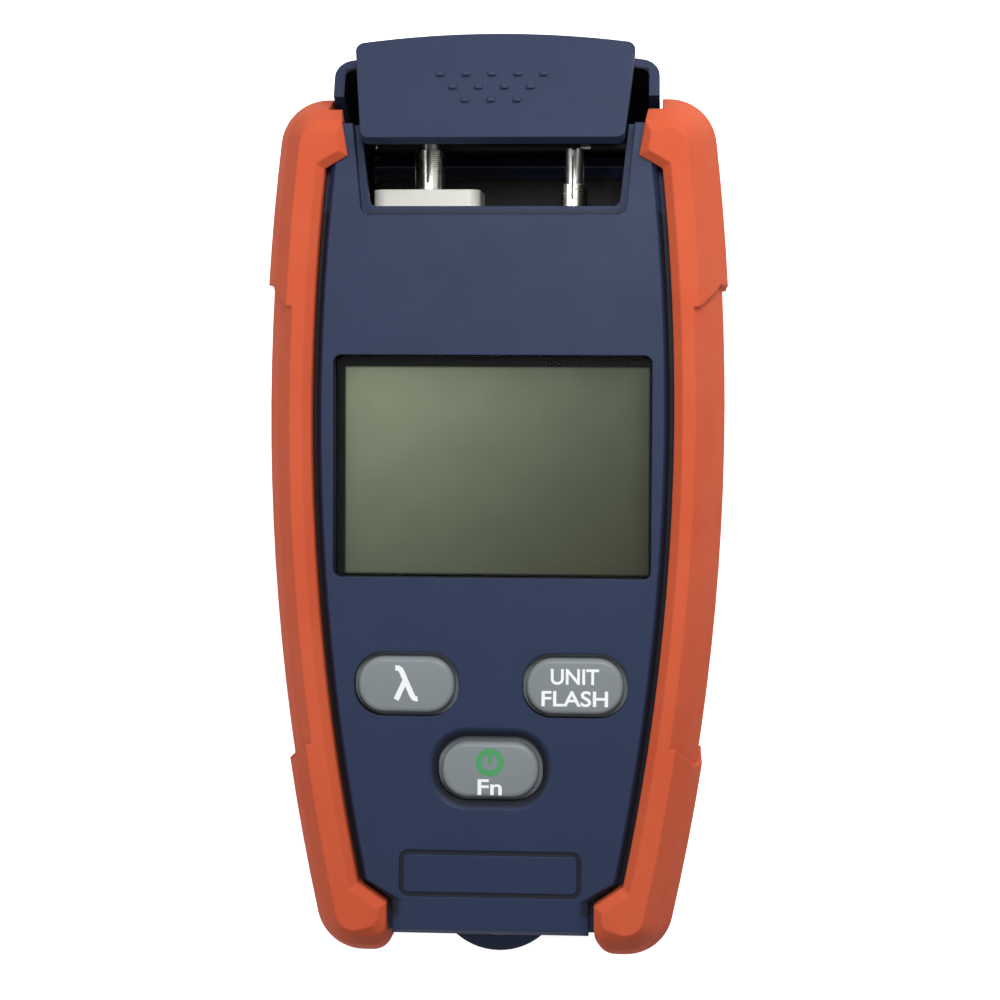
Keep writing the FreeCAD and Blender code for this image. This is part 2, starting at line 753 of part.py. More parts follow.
def waist_zone():
    """The stretch between the thumb pads; its ends lean outwards going down."""
    body = new_body("waist_zone")
    upper = MIDDLE + D["pad_upper"]
    lower = MIDDLE - D["pad_lower"]
    knee = D["thickness"] - D["pad_slant_depth"]
    outline = [
        Corner(lower - D["pad_slant"], -MARGIN),
        Corner(upper + D["pad_slant"], -MARGIN),
        Corner(upper + D["pad_slant"], knee),
        Corner(upper, D["thickness"]),
        Corner(upper, D["thickness"] + MARGIN),
        Corner(lower, D["thickness"] + MARGIN),
        Corner(lower, D["thickness"]),
        Corner(lower - D["pad_slant"], knee),
    ]
    extrude(body, [outline], D["foot_x"] - MARGIN, D["half_width"] + 4 * MARGIN, "YZ")
    return body


def rear_wrap(body):
    """The lower hook reaches further under the housing at the rear."""
    inner = D["foot_x"] - D["foot_back"]
    upper = BOTTOM - D["seat_gap"]
    lower = GRIP_BOTTOM + D["back_bevel"]
    outline = [
        Corner(inner, upper - D["foot_back_edge"]),
        Corner(D["foot_x"] + D["foot_corner"] / 4, lower),
        Corner(D["foot_x"] + D["foot_back"], lower),
        Corner(D["foot_x"] + D["foot_back"], upper),
        Corner(inner, upper),
    ]
    extrude(body, [outline], D["back_face"], D["foot_back_height"])


def housing_space():
    """What the housing and the cap need inside the grips."""
    body = new_body("housing_space")
    gap = D["seat_gap"]
    core = shell_outline(D["grip_wall"] - gap, BOTTOM - gap, TOP + gap)
    extrude(body, [core], D["back_lip"], SHOULDER + gap)
    round_core(body, gap)
    root_y = GRIP_TOP - D["hook_root_drop"]
    under_hook = span(-ARM_ROOM, ARM_ROOM, root_y - MARGIN, TOP + gap)
    extrude(body, [under_hook], -MARGIN, FACE + gap)
    past_end = span(-ARM_ROOM, ARM_ROOM, TOP, GRIP_TOP + MARGIN)
    extrude(body, [past_end], -MARGIN, SHOULDER + gap)
    return body


def side_grips():
    """Both rubber grips: padded bars, waisted between the pads, hollow inside."""
    raised = grip_bar("raised_bar", D["pad_swell"])
    waisted = grip_bar("waisted_bar", ZERO)
    rear_wrap(raised)
    rear_wrap(waisted)
    shaved = boolean("Cut", "shaved_waist", waist_zone(), waisted)
    padded = boolean("Cut", "padded_bar", raised, shaved)
    right = boolean("Cut", "right_grip", padded, housing_space())
    left = DOC.addObject("Part::Mirroring", "left_grip")
    left.Source = right
    left.Base = V(0, 0, 0)
    left.Normal = V(1, 0, 0)
    DOC.recompute()
    return [left, right]


# ---------------------------------------------------------------- housing shells

def face_block(body, low, high, bevel_up):
    """The raised front or rear face with a bevel round its outer edge."""
    foot = D["foot_x"] - D["face_gap"]
    bevel = D["face_bevel"] if bevel_up else D["back_face"]
    foot_bevel = D["foot_bevel"] if bevel_up else bevel
    full = face_outline(FACE_INSET, BOTTOM, TOP, foot)
    narrow = face_outline(FACE_INSET + bevel, BOTTOM + bevel, TOP, foot - foot_bevel)
    if bevel_up:
        loft(body, [(low, full), (high - bevel, full), (high, narrow)])
    else:
        loft(body, [(low, narrow), (low + bevel, full), (high, full)])


def housing_core(label, low, high):
    body = new_body(label)
    extrude(body, [shell_outline(D["grip_wall"], BOTTOM, TOP)], low, high)
    round_core(body, ZERO)
    return body


def port_holes(body):
    """Holes for both port barrels through the bulkhead under the bay."""
    fit = D["screw_fit"] * 2
    for across, size in ((-D["detector_x"], D["neck"]), (D["fault_x"], D["fault_neck"])):
        cut(body, [(across, D["parting"], size + fit)], CAVITY_TOP - MARGIN,
            BAY_FLOOR + MARGIN, "XZ")


def screw_spots():
    upper = MIDDLE + D["screw_upper"]
    lower = MIDDLE - D["screw_lower"]
    return [(sign * across, along) for across, along in
            ((D["screw_upper_x"], upper), (D["screw_lower_x"], lower)) for sign in (-1, 1)]


def arm_slots():
    """Slots for the arms of the cap, one beside each wall of the bay."""
    inner = D["bay_half"] + D["bay_wall"]
    low = TOP - D["channel_depth"]
    return [span(inner, ARM_ROOM, low, TOP + MARGIN),
            span(-ARM_ROOM, -inner, low, TOP + MARGIN)]


def skirt_outline(grow):
    """The closed skirt of the cap, grown by a clearance, up past the housing."""
    foot = SKIRT_FOOT - grow
    low = D["skirt_low"] + grow
    high = low + D["skirt_flare"] * (TOP + MARGIN - foot)
    radius = D["skirt_corner"] + grow
    return [Corner(-low, foot, radius), Corner(low, foot, radius),
            Corner(high, TOP + MARGIN), Corner(-high, TOP + MARGIN)]


def notch_outline():
    foot = TOP - D["notch_depth"]
    lean = (D["notch_top"] - D["notch_low"]) / D["notch_depth"]
    high = D["notch_top"] + lean * MARGIN
    radius = D["skirt_corner"]
    return [Corner(-D["notch_low"], foot, radius), Corner(D["notch_low"], foot, radius),
            Corner(high, TOP + MARGIN), Corner(-high, TOP + MARGIN)]


def name_groove(body):
    """A shallow groove in the front face round the bare name field."""
    row = MIDDLE - D["plate_row"]
    ring = D["groove"] * 2
    outer = rectangle(ZERO, row, D["plate_long"], D["plate_high"], D["plate_corner"])
    inner = rectangle(ZERO, row, D["plate_long"] - ring, D["plate_high"] - ring,
                      D["plate_corner"] - D["groove"])
    cut(body, [outer, inner], FACE - D["groove_deep"], FACE)


def key_hole(across, along, grow):
    """The outline of a key grown all round."""
    return rectangle(across, along, D["key_long"] + grow * 2, D["key_high"] + grow * 2,
                     D["key_corner"] + grow)


def power_dish(body):
    """The face slopes down to the power key all round it."""
    row = MIDDLE - D["power_row"]
    loft(body, [(FACE - D["dish_deep"], key_hole(ZERO, row, D["key_gap"])),
                (FACE, key_hole(ZERO, row, D["key_gap"] + D["dish_wide"]))], cutting=True)


def front_shell():
    body = housing_core("front_shell", D["parting"], SHOULDER)
    face_block(body, SHOULDER, FACE, bevel_up=True)
    inner = D["grip_wall"] + D["wall"]
    ceiling = SHOULDER - D["wall"]
    cut(body, [shell_outline(inner, CAVITY_BOTTOM, CAVITY_TOP)], D["parting"], ceiling)
    upper_room = face_outline(FACE_INSET + D["thin_wall"], CAVITY_BOTTOM, CAVITY_TOP,
                              D["foot_x"] - D["face_gap"] - D["thin_wall"])
    cut(body, [upper_room], ceiling - MARGIN, INSIDE_FACE)
    for across, along in screw_spots():
        roof = INSIDE_FACE if along.value > 0 else ceiling
        extrude(body, [(across, along, D["boss"])], D["parting"], roof + MARGIN / 2)
        cut(body, [(across, along, D["shank"] + D["screw_fit"] * 2)], D["parting"],
            ceiling - MARGIN)
    window = rectangle(ZERO, WINDOW_Y, D["window_wide"], D["window_high"],
                       D["window_corner"])
    cut(body, [window], INSIDE_FACE - MARGIN, FACE)
    for across, along in key_spots().values():
        cut(body, [key_hole(across, along, D["key_gap"])], INSIDE_FACE - MARGIN, FACE)
    power_dish(body)
    bay = span(-D["bay_half"], D["bay_half"], BAY_FLOOR, TOP + MARGIN)
    cut(body, [bay], D["parting"], D["bay_front"])
    for slot in arm_slots():
        cut(body, [slot], D["parting"], D["bay_front"])
    cut(body, [notch_outline()], D["bay_front"] - MARGIN, FACE)
    ledge = FACE - D["skirt_thick"] - D["skirt_gap"]
    cut(body, [skirt_outline(D["skirt_gap"])], ledge, FACE)
    port_holes(body)
    name_groove(body)
    return body


def lanyard_lug(body):
    """A bowed bar at the rear of the lower end, with a slot behind it."""
    low = BOTTOM + MARGIN
    for half, out, cutting in (
            (D["lug_half"], D["lug_out"] + MARGIN, False),
            (D["lug_half"] - D["lug_end"], D["lug_out"] - D["lug_bar"], True)):
        start = BOTTOM if cutting else low
        radius = (half * half + out * out) / (out * 2)
        outline = [Corner(-half, start, bow=(radius, False)), Corner(half, start)]
        extrude(body, [outline], D["lug_low"], D["lug_high"], cut=cutting)


def swing_outline():
    """What the rear of the cap sweeps from closed to fully open, seen along the hinge."""
    reach = D["hinge_swing"] + D["skirt_gap"]
    inside = D["hinge_swing"] - D["spine"] - D["skirt_gap"]
    lead = D["spine_below"] + D["skirt_gap"]
    turned_y, turned_z = -sine(D["cap_full"]), -cosine(D["cap_full"])
    ends = []
    for far in (inside, root(reach * reach - lead * lead)):
        ends.append((HINGE_Y + far * turned_y + lead * turned_z,
                     HINGE_Z + far * turned_z - lead * turned_y))
    (inner_y, inner_z), (outer_y, outer_z) = ends
    stand = D["hinge_stand"]
    return [
        Corner(outer_y, outer_z, bow=(reach, False)),
        Corner(HINGE_Y, HINGE_Z - reach, bow=(reach, False)),
        Corner(HINGE_Y + root(reach * reach - stand * stand), HINGE_Z + stand),
        Corner(inner_y, HINGE_Z + stand),
        Corner(inner_y, inner_z),
    ]


def hinge_side(body):
    """Clear the swing of the cap's rear, then stand the hinge ears and barrel in it."""
    cut(body, [swing_outline()], -ARM_ROOM, ARM_ROOM, "YZ")
    outer = D["bay_half"] + D["bay_wall"]
    barrel = (HINGE_Y, HINGE_Z, D["barrel"])
    extrude(body, [barrel], -outer, -D["bay_half"], "YZ")
    extrude(body, [barrel], D["lug_left"], outer, "YZ")
    cut(body, [(HINGE_Y, HINGE_Z, D["pin"] + D["screw_fit"])], -outer - MARGIN,
        outer + MARGIN, "YZ")


def battery_tub(body):
    """A tub for the two cells, open at the rear, with a rebate for its door."""
    wall = D["tub_wall"] * 2
    outer = rectangle(ZERO, TUB_Y, TUB_WIDE + wall, TUB_LONG + wall)
    extrude(body, [outer], BACK_INSIDE - MARGIN / 2, TUB_CEILING + D["tub_wall"])
    cut(body, [rectangle(ZERO, TUB_Y, TUB_WIDE, TUB_LONG)], -MARGIN, TUB_CEILING)
    lap = D["door_lap"] * 2
    rebate = rectangle(ZERO, TUB_Y, TUB_WIDE + lap, TUB_LONG + lap, D["door_corner"])
    cut(body, [rebate], -MARGIN, DOOR_TOP + D["door_gap"])


def rear_shell():
    body = housing_core("rear_shell", BACK_SHOULDER, D["parting"])
    face_block(body, D["back_face"], BACK_SHOULDER, bevel_up=False)
    inner = D["grip_wall"] + D["wall"]
    cut(body, [shell_outline(inner, CAVITY_BOTTOM, CAVITY_TOP)], BACK_INSIDE,
        D["parting"])
    lanyard_lug(body)
    bay = span(-D["bay_half"], D["bay_half"], BAY_FLOOR, TOP + MARGIN)
    cut(body, [bay], BACK_INSIDE, D["parting"])
    for slot in arm_slots():
        cut(body, [slot], -MARGIN, D["parting"])
    hinge_side(body)
    port_holes(body)
    floor = BACK_SHOULDER
    seat = D["back_face"] + D["head_sunk"] + D["head_high"]
    for across, along in screw_spots():
        block = rectangle(across, along, D["boss_block"], D["boss_block"])
        extrude(body, [block], floor, seat + D["wall"])
        extrude(body, [(across, along, D["boss"])], floor, D["parting"])
        cut(body, [(across, along, D["shank"] + D["screw_free"] * 2)], -MARGIN, D["parting"])
        cut(body, [(across, along, D["screw_head"] + D["head_free"] * 2)], -MARGIN, seat)
    battery_tub(body)
    for across, along in post_spots():
        extrude(body, [rectangle(across, along, D["post"], D["post"])], floor,
                D["board_low"])
        cut(body, [(across, along, D["board_shank"] + D["screw_fit"] * 2)],
            D["board_low"] - D["board_screw_long"], D["board_low"])
    return body


# ---------------------------------------------------------------- dust cap

def arch_drop(across):
    """How far the bowed top of the cap falls at a distance from its middle."""
    radius = D["cap_arch"]
    return radius - root(radius * radius - across * across)


def cap_shell_outline(half, crown, low, corner):
    """The cap seen from the front, about the hinge axis, with its bowed top."""
    shoulder = crown - arch_drop(half)
    return [Corner(-half, low), Corner(half, low),
            Corner(half, shoulder, corner, (D["cap_arch"], False)),
            Corner(-half, shoulder, corner)]


def dust_cap():
    """A hood with a front skirt, a bowed top, two arms and a rounded rear spine."""
    body = new_body("dust_cap")
    crown = D["cap_crown"] - D["hinge_up"]
    wall = D["cap_wall"]
    swing = D["hinge_swing"]
    side_front = D["cap_side_front"] - HINGE_Z
    front = FACE - HINGE_Z
    low = -D["arm_below"]
    outer = cap_shell_outline(D["cap_half"], crown, low, D["cap_corner"])
    extrude(body, [outer], -swing, side_front)
    inner = cap_shell_outline(D["cap_half"] - wall, crown - wall, low - MARGIN,
                              D["cap_corner"] - wall)
    cut(body, [inner], ZERO, side_front)
    inside = swing - D["spine"]
    hollow = [
        Corner(low - MARGIN, -swing - MARGIN),
        Corner(-D["spine_below"], -swing - MARGIN),
        Corner(-D["spine_below"], -inside),
        Corner(ZERO, -inside, bow=(inside, False)),
        Corner(inside, ZERO),
        Corner(low - MARGIN, ZERO),
    ]
    cut(body, [hollow], wall - D["cap_half"], D["cap_half"] - wall, "YZ")
    arm_back = -root(swing * swing - low * low)
    rear = [
        Corner(low - MARGIN, -swing - MARGIN),
        Corner(swing + MARGIN, -swing - MARGIN),
        Corner(swing + MARGIN, ZERO),
        Corner(swing, ZERO, bow=(swing, True)),
        Corner(ZERO, -swing, bow=(swing, True)),
        Corner(low, arm_back),
        Corner(low - MARGIN, arm_back),
    ]
    cut(body, [rear], -D["cap_half"] - MARGIN, D["cap_half"] + MARGIN, "YZ")
    add_skirt(body, crown, side_front, front)
    web = rectangle(ZERO, -inside / 2, D["barrel"] / 2, inside + MARGIN / 2)
    for loop in ((ZERO, ZERO, D["barrel"]), web):
        extrude(body, [loop], -D["barrel_left"], D["barrel_right"], "YZ")
    cut(body, [(ZERO, ZERO, D["pin"] + D["pin_fit"] * 2)], -D["cap_half"] - MARGIN,
        D["cap_half"] + MARGIN, "YZ")
    body.Placement = FreeCAD.Placement(V(0, 0, 0), FreeCAD.Rotation(V(1, 0, 0), -1))
    body.setExpression("Placement.Rotation.Angle", (-D["cap_open"]).text)
    return place(body, ZERO, HINGE_Y, HINGE_Z)


def add_skirt(body, crown, side_front, front):
    """The front skirt, and the lip of the roof that carries it."""
    foot = SKIRT_FOOT - HINGE_Y
    high = D["skirt_low"] + D["skirt_flare"] * (crown - foot)
    shoulder = crown - arch_drop(high)
    lip_low = shoulder - D["cap_wall"]
    low_half = D["skirt_low"] + D["skirt_flare"] * (lip_low - foot)
    lip = [
        Corner(-low_half, lip_low), Corner(low_half, lip_low),
        Corner(high, shoulder, D["skirt_brow"], (D["cap_arch"], False)),
        Corner(-high, shoulder, D["skirt_brow"]),
    ]
    extrude(body, [lip], side_front, front)
    skirt = [
        Corner(-D["skirt_low"], foot, D["skirt_corner"]),
        Corner(D["skirt_low"], foot, D["skirt_corner"]),
        Corner(high, shoulder, D["skirt_brow"], (D["cap_arch"], False)),
        Corner(-high, shoulder, D["skirt_brow"]),
    ]
    extrude(body, [skirt], front - D["skirt_thick"], front)


def hinge_pin():
    body = new_body("hinge_pin")
    extrude(body, [(ZERO, ZERO, D["pin"])], -D["cap_half"], D["cap_half"], "YZ")
    return place(body, ZERO, HINGE_Y, HINGE_Z)


# ---------------------------------------------------------------- ports

def split_tube(body, radius, low, high):
    """Cut the slot of a split sleeve down the side that faces the front."""
    slot = span(-D["split"] / 2, D["split"] / 2, -radius - MARGIN, -radius / 2)
    cut(body, [slot], low, high)


def detector_flange():
    body = new_body("detector_flange")
    plate = rectangle(ZERO, ZERO, D["flange_width"], D["flange_deep"], D["flange_corner"])
    hole = (ZERO, ZERO, D["neck"] + D["screw_fit"] * 2)
    extrude(body, [plate, hole], ZERO, D["flange_thick"])
    return lay_along(body, -D["detector_x"], BAY_FLOOR, D["parting"])


def port_barrel(label, across, neck, rise):
    """A collared barrel through the bulkhead, split where it stands in the bay."""
    body = new_body(label)
    inner = D["sleeve"] / 2 + D["screw_fit"]
    under = -D["floor_plate"]
    turn(body, [
        Corner(inner, under - D["collar_thick"]),
        Corner(D["collar"] / 2, under - D["collar_thick"]),
        Corner(D["collar"] / 2, under),
        Corner(neck / 2, under),
        Corner(neck / 2, rise),
        Corner(inner, rise),
    ])
    split_tube(body, neck / 2, rise / 2, rise + MARGIN)
    return lay_along(body, across, BAY_FLOOR, D["parting"])


def split_sleeve(label, across, rise):
    body = new_body(label)
    bore = (ZERO, ZERO, D["ferrule"])
    extrude(body, [(ZERO, ZERO, D["sleeve"]), bore], -D["floor_plate"], rise)
    split_tube(body, D["sleeve"] / 2, ZERO, rise + MARGIN)
    return lay_along(body, across, BAY_FLOOR, D["parting"])


def diode_housing(label, across, long):
    """A can behind a port, with the rim that seats it on the barrel's collar."""
    body = new_body(label)
    seat = -D["floor_plate"] - D["collar_thick"]
    turn(body, [
        Corner(ZERO, seat - long),
        Corner(D["module"] / 2 - D["module_rim"], seat - long),
        Corner(D["module"] / 2 - D["module_rim"], seat - D["collar_thick"]),
        Corner(D["module"] / 2, seat - D["collar_thick"]),
        Corner(D["module"] / 2, seat),
        Corner(ZERO, seat),
    ])
    return lay_along(body, across, BAY_FLOOR, D["parting"])


# ---------------------------------------------------------------- display and board

def plate(label, wide, high, low, top, corner=0, holes=()):
    """A flat piece of the display stack, centred on the window."""
    body = new_body(label)
    extrude(body, [rectangle(ZERO, WINDOW_Y, wide, high, corner), *holes], low, top)
    return body


def display():
    """Window, glass, frame, backlight and the two rubber connector strips."""
    lens_low = INSIDE_FACE - D["lens_thick"]
    glass_top = lens_low - D["stack_gap"]
    glass_low = glass_top - D["glass_thick"]
    lap = D["lens_lap"] * 2
    wide = D["window_wide"] - D["glass_gap"]
    high = D["window_high"] - D["glass_gap"]
    room = D["stack_gap"] * 2
    frame = D["frame_wall"] * 2 + room
    opening = rectangle(ZERO, WINDOW_Y, wide + room, high + room)
    strip_y = high / 2 - D["zebra"] / 2 - D["stack_gap"]
    light_high = high - (D["zebra"] + room) * 2
    pieces = [
        plate("lcd_window", D["window_wide"] + lap, D["window_high"] + lap, lens_low,
              INSIDE_FACE, D["window_corner"]),
        plate("lcd_panel", wide, high, glass_low, glass_top),
        plate("lcd_frame", wide + frame, high + frame, BOARD_TOP, glass_top, 0, [opening]),
        plate("lcd_backlight", wide - room, light_high, glass_low - D["light_thick"],
              glass_low),
    ]
    for name, sign in (("upper", 1), ("lower", -1)):
        body = new_body(f"zebra_strip_{name}")
        strip = rectangle(ZERO, WINDOW_Y + sign * strip_y, wide - room * 2, D["zebra"])
        extrude(body, [strip], BOARD_TOP, glass_low)
        pieces.append(body)
    return pieces


def post_spots():
    upper = MIDDLE + D["board_top"] - D["post_inset"]
    lower = MIDDLE - D["board_bottom"] + D["post_inset"]
    return [(sign * D["post_x"], along) for along in (upper, lower) for sign in (-1, 1)]


def main_board():
    body = new_body("main_board")
    inset = D["grip_wall"] + D["wall"] + D["board_gap"]
    outline = shell_outline(inset, MIDDLE - D["board_bottom"], MIDDLE + D["board_top"])
    holes = [(across, along, D["board_shank"] + D["stack_gap"]) for across, along in post_spots()]
    extrude(body, [outline, *holes], D["board_low"], BOARD_TOP)
    return body


# ---------------------------------------------------------------- keys

def key_spots():
    row = MIDDLE - D["key_row"]
    return {
        "wavelength": (-D["key_pitch"], row),
        "unit": (D["key_pitch"], row),
        "power": (ZERO, MIDDLE - D["power_row"]),
    }


def key(name, across, along):
    """A key cap with a bevelled rim, a flange behind the face and a stem."""
    body = new_body(f"key_{name}")
    under = INSIDE_FACE - D["stack_gap"]
    top = FACE + D["key_proud"]
    flange = D["key_flange"] * 2
    extrude(body, [rectangle(ZERO, ZERO, D["key_long"], D["key_high"], D["key_corner"])],
            under, top)
    rim = edge_names(body, lambda edge, middle: level_edge(edge, top))
    dress(body, "Chamfer", rim, Size=D["key_round"])
    extrude(body, [rectangle(ZERO, ZERO, D["key_long"] + flange, D["key_high"] + flange,
                             D["key_corner"])], under - D["key_flange"], under)
    extrude(body, [(ZERO, ZERO, D["stem"])], SWITCH_TOP + D["travel_room"],
            under - D["key_flange"])
    return place(body, across, along, ZERO)


def switch(name, across, along):
    body = new_body(f"switch_{name}")
    case_top = D["switch_high"]
    extrude(body, [rectangle(ZERO, ZERO, D["switch_size"], D["switch_size"])], ZERO,
            case_top)
    extrude(body, [(ZERO, ZERO, D["button"])], case_top, case_top + D["button_high"])
    return place(body, across, along, BOARD_TOP)


# ---------------------------------------------------------------- batteries

def battery_cell(name, sign):
    """A cylindrical cell; the two lie side by side, nub to tail."""
    body = new_body(f"battery_cell_{name}")
    can = D["cell_long"] - D["cell_nub_high"]
    turn(body, [
        Corner(ZERO, ZERO),
        Corner(D["cell"] / 2, ZERO),
        Corner(D["cell"] / 2, can),
        Corner(D["cell_nub"] / 2, can),
        Corner(D["cell_nub"] / 2, D["cell_long"]),
        Corner(ZERO, D["cell_long"]),
    ])
    body.Placement = FreeCAD.Placement(V(0, 0, 0),
                                       FreeCAD.Rotation(V(1, 0, 0), 90 * sign))
    nub_end = TUB_LONG / 2 - D["contact"] - D["stack_gap"]
    tail = nub_end - D["cell_long"]
    return place(body, sign * CELL_X, TUB_Y - sign * tail, CELL_Z)


def contact(name, sign):
    """A flat contact and one with a conical spring at one end of the tub."""
    body = new_body(f"battery_contact_{name}")
    wide = D["contact_wide"]
    spring_x = sign * -CELL_X
    coil = coil_outline()
    turn(body, coil)
    for across in (ZERO, spring_x * -2):
        extrude(body, [rectangle(across, ZERO, wide, wide)], ZERO, D["contact"])
    link = rectangle(-spring_x, ZERO, CELL_X, D["link_high"])
    extrude(body, [link], ZERO, D["contact"])
    body.Placement = FreeCAD.Placement(V(0, 0, 0),
                                       FreeCAD.Rotation(V(1, 0, 0), -90 * sign))
    return place(body, spring_x, TUB_Y - sign * TUB_LONG / 2, CELL_Z)


def coil_outline():
    """Half the outline of a conical spring, coil over coil, about its axis."""
    pitch = (D["spring_room"] - D["contact"] - D["spring_slack"]) / COILS
    taper = (D["spring"] - D["spring_tip"]) / (2 * COILS)
    outline = [Corner(ZERO, ZERO), Corner(D["spring"] / 2 - D["wire"], ZERO)]
    for coil in range(COILS):
        foot = D["contact"] + pitch * coil
        outer = D["spring"] / 2 - taper * coil
        outline.append(Corner(outer - D["wire"] / 2, foot))
        outline.append(Corner(outer, foot + pitch / 2))
    top = D["contact"] + pitch * COILS
    outline += [Corner(D["spring_tip"] / 2 - D["wire"] / 2, top), Corner(ZERO, top)]
    return outline


def battery_door():
    body = new_body("battery_door")
    grow = (D["door_lap"] - D["door_gap"]) * 2
    outline = rectangle(ZERO, TUB_Y, TUB_WIDE + grow, TUB_LONG + grow,
                        D["door_corner"] - D["door_gap"])
    extrude(body, [outline], D["back_face"], DOOR_TOP)
    thumb_y = TUB_Y - TUB_LONG / 2 + D["thumb_high"]
    thumb = rectangle(ZERO, thumb_y, D["thumb_long"], D["thumb_high"],
                      D["door_corner"])
    cut(body, [thumb], D["back_face"], D["back_face"] + D["thumb_deep"])
    return body


# ---------------------------------------------------------------- screws

def screw(label, head, head_high, shank, long, across, along, height, downwards):
    """A pan-head screw; its head lies at the rear, or on the board facing up."""
    body = new_body(label)
    turn(body, [
        Corner(ZERO, ZERO),
        Corner(head / 2, ZERO),
        Corner(head / 2, head_high),
        Corner(shank / 2, head_high),
        Corner(shank / 2, head_high + long),
        Corner(ZERO, head_high + long),
    ])
    if downwards:
        body.Placement = FreeCAD.Placement(V(0, 0, 0), FreeCAD.Rotation(V(1, 0, 0), 180))
    return place(body, across, along, height)


def all_screws():
    pieces = []
    for index, (across, along) in enumerate(screw_spots(), start=1):
        pieces.append(screw(f"housing_screw_{index}", D["screw_head"], D["head_high"],
                            D["shank"], D["screw_long"], across, along,
                            D["back_face"] + D["head_sunk"], downwards=False))
    for index, (across, along) in enumerate(post_spots(), start=1):
        pieces.append(screw(f"board_screw_{index}", D["board_head"],
                            D["board_head_high"], D["board_shank"],
                            D["board_screw_long"], across, along,
                            BOARD_TOP + D["board_head_high"], downwards=True))
    return pieces


# ---------------------------------------------------------------- whole meter

def build():
    """Every physical piece of the meter, in the order they are listed."""
    pieces = [front_shell(), rear_shell(), *side_grips(), dust_cap(), hinge_pin()]
    pieces += [
        detector_flange(),
        port_barrel("detector_barrel", -D["detector_x"], D["neck"], D["neck_rise"]),
        split_sleeve("detector_sleeve", -D["detector_x"], D["sleeve_rise"]),
        diode_housing("photodiode", -D["detector_x"], D["detector_long"]),
        port_barrel("fault_barrel", D["fault_x"], D["fault_neck"], D["fault_neck_rise"]),
        split_sleeve("fault_sleeve", D["fault_x"], D["fault_rise"]),
        diode_housing("laser_module", D["fault_x"], D["laser_long"]),
        main_board(),
    ]
    pieces += display()
    for name, (across, along) in key_spots().items():
        pieces.append(key(name, across, along))
        pieces.append(switch(name, across, along))
    pieces += [battery_cell("left", -1), battery_cell("right", 1), contact("lower", 1),
               contact("upper", -1), battery_door()]
    return pieces + all_screws()


def check(pieces):
    """Stop if any feature failed or any piece isn't one sound solid."""
    for item in DOC.Objects:
        if "Invalid" in item.State or "Error" in item.State:
            raise RuntimeError(f"{item.Name} failed: {item.State}")
    for piece in pieces:
        shape = piece.Shape
        if shape.isNull() or not shape.isValid() or len(shape.Solids) != 1:
            raise RuntimeError(f"{piece.Label} isn't one sound solid")


def main():
    pieces = build()
    DOC.recompute()
    check(pieces)
    os.makedirs("parts", exist_ok=True)
    for piece in pieces:
        piece.Shape.exportStep(f"parts/{piece.Label}.step")
    whole = Part.makeCompound([piece.Shape for piece in pieces]).BoundBox
    print(f"{len(pieces)} pieces, {whole.XLength:.2f} x {whole.YLength:.2f} x "
          f"{whole.ZLength:.2f} mm, middle {whole.Center.x:.3f}, {whole.Center.y:.3f}")


main()
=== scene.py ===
"""Looks of a handheld optical power meter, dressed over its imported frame.

The meter lies on its back: X runs across it, Y along it towards the ports, Z out
through its front.  Sizes are metres unless a name says otherwise.
"""
from __future__ import annotations

import json
import logging
import math
from dataclasses import dataclass
from enum import Enum
from typing import Any

import bmesh
import bpy
from mathutils import Matrix, Vector

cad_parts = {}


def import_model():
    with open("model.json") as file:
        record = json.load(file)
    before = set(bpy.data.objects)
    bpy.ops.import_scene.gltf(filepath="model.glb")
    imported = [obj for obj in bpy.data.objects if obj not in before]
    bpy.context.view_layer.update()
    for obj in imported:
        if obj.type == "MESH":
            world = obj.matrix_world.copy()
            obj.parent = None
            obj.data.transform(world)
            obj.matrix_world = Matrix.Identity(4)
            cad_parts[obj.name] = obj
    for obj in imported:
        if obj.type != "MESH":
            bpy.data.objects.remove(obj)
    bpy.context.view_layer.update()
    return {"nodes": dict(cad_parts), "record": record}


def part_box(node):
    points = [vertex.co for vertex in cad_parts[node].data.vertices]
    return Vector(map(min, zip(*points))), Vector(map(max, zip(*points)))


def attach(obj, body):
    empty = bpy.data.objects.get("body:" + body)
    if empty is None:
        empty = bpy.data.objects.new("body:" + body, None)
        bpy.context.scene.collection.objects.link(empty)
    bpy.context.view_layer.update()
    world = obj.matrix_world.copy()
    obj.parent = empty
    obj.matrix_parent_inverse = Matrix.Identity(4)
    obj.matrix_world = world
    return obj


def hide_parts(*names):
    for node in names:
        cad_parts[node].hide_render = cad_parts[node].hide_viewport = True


LOG = logging.getLogger("power_meter")
MM = 0.001
FADE = 0.1 * MM  # a painted shade starts over this width
Colour = tuple[float, float, float, float]
Point = tuple[float, float]


def tint(red: int, green: int, blue: int) -> Colour:
    """Turn a colour as it is read on a screen into a linear one.

    Args:
        red: Red, 0 to 255.
        green: Green, 0 to 255.
        blue: Blue, 0 to 255.

    Returns:
        The linear colour with full alpha.
    """
    def linear(channel: int) -> float:
        """Undo the screen curve for one channel."""
        value = channel / 255
        return value / 12.92 if value <= 0.04045 else ((value + 0.055) / 1.055) ** 2.4

    return linear(red), linear(green), linear(blue), 1.0


def shade(colour: Colour, share: float, added: float = 0.0) -> Colour:
    """Make a colour darker or paler.

    Args:
        colour: The colour.
        share: What its light is multiplied by.
        added: White that is added.

    Returns:
        The new colour with full alpha.
    """
    red, green, blue = (min(1.0, share * part + added) for part in colour[:3])
    return red, green, blue, 1.0


# ---------------------------------------------------------------- nodes

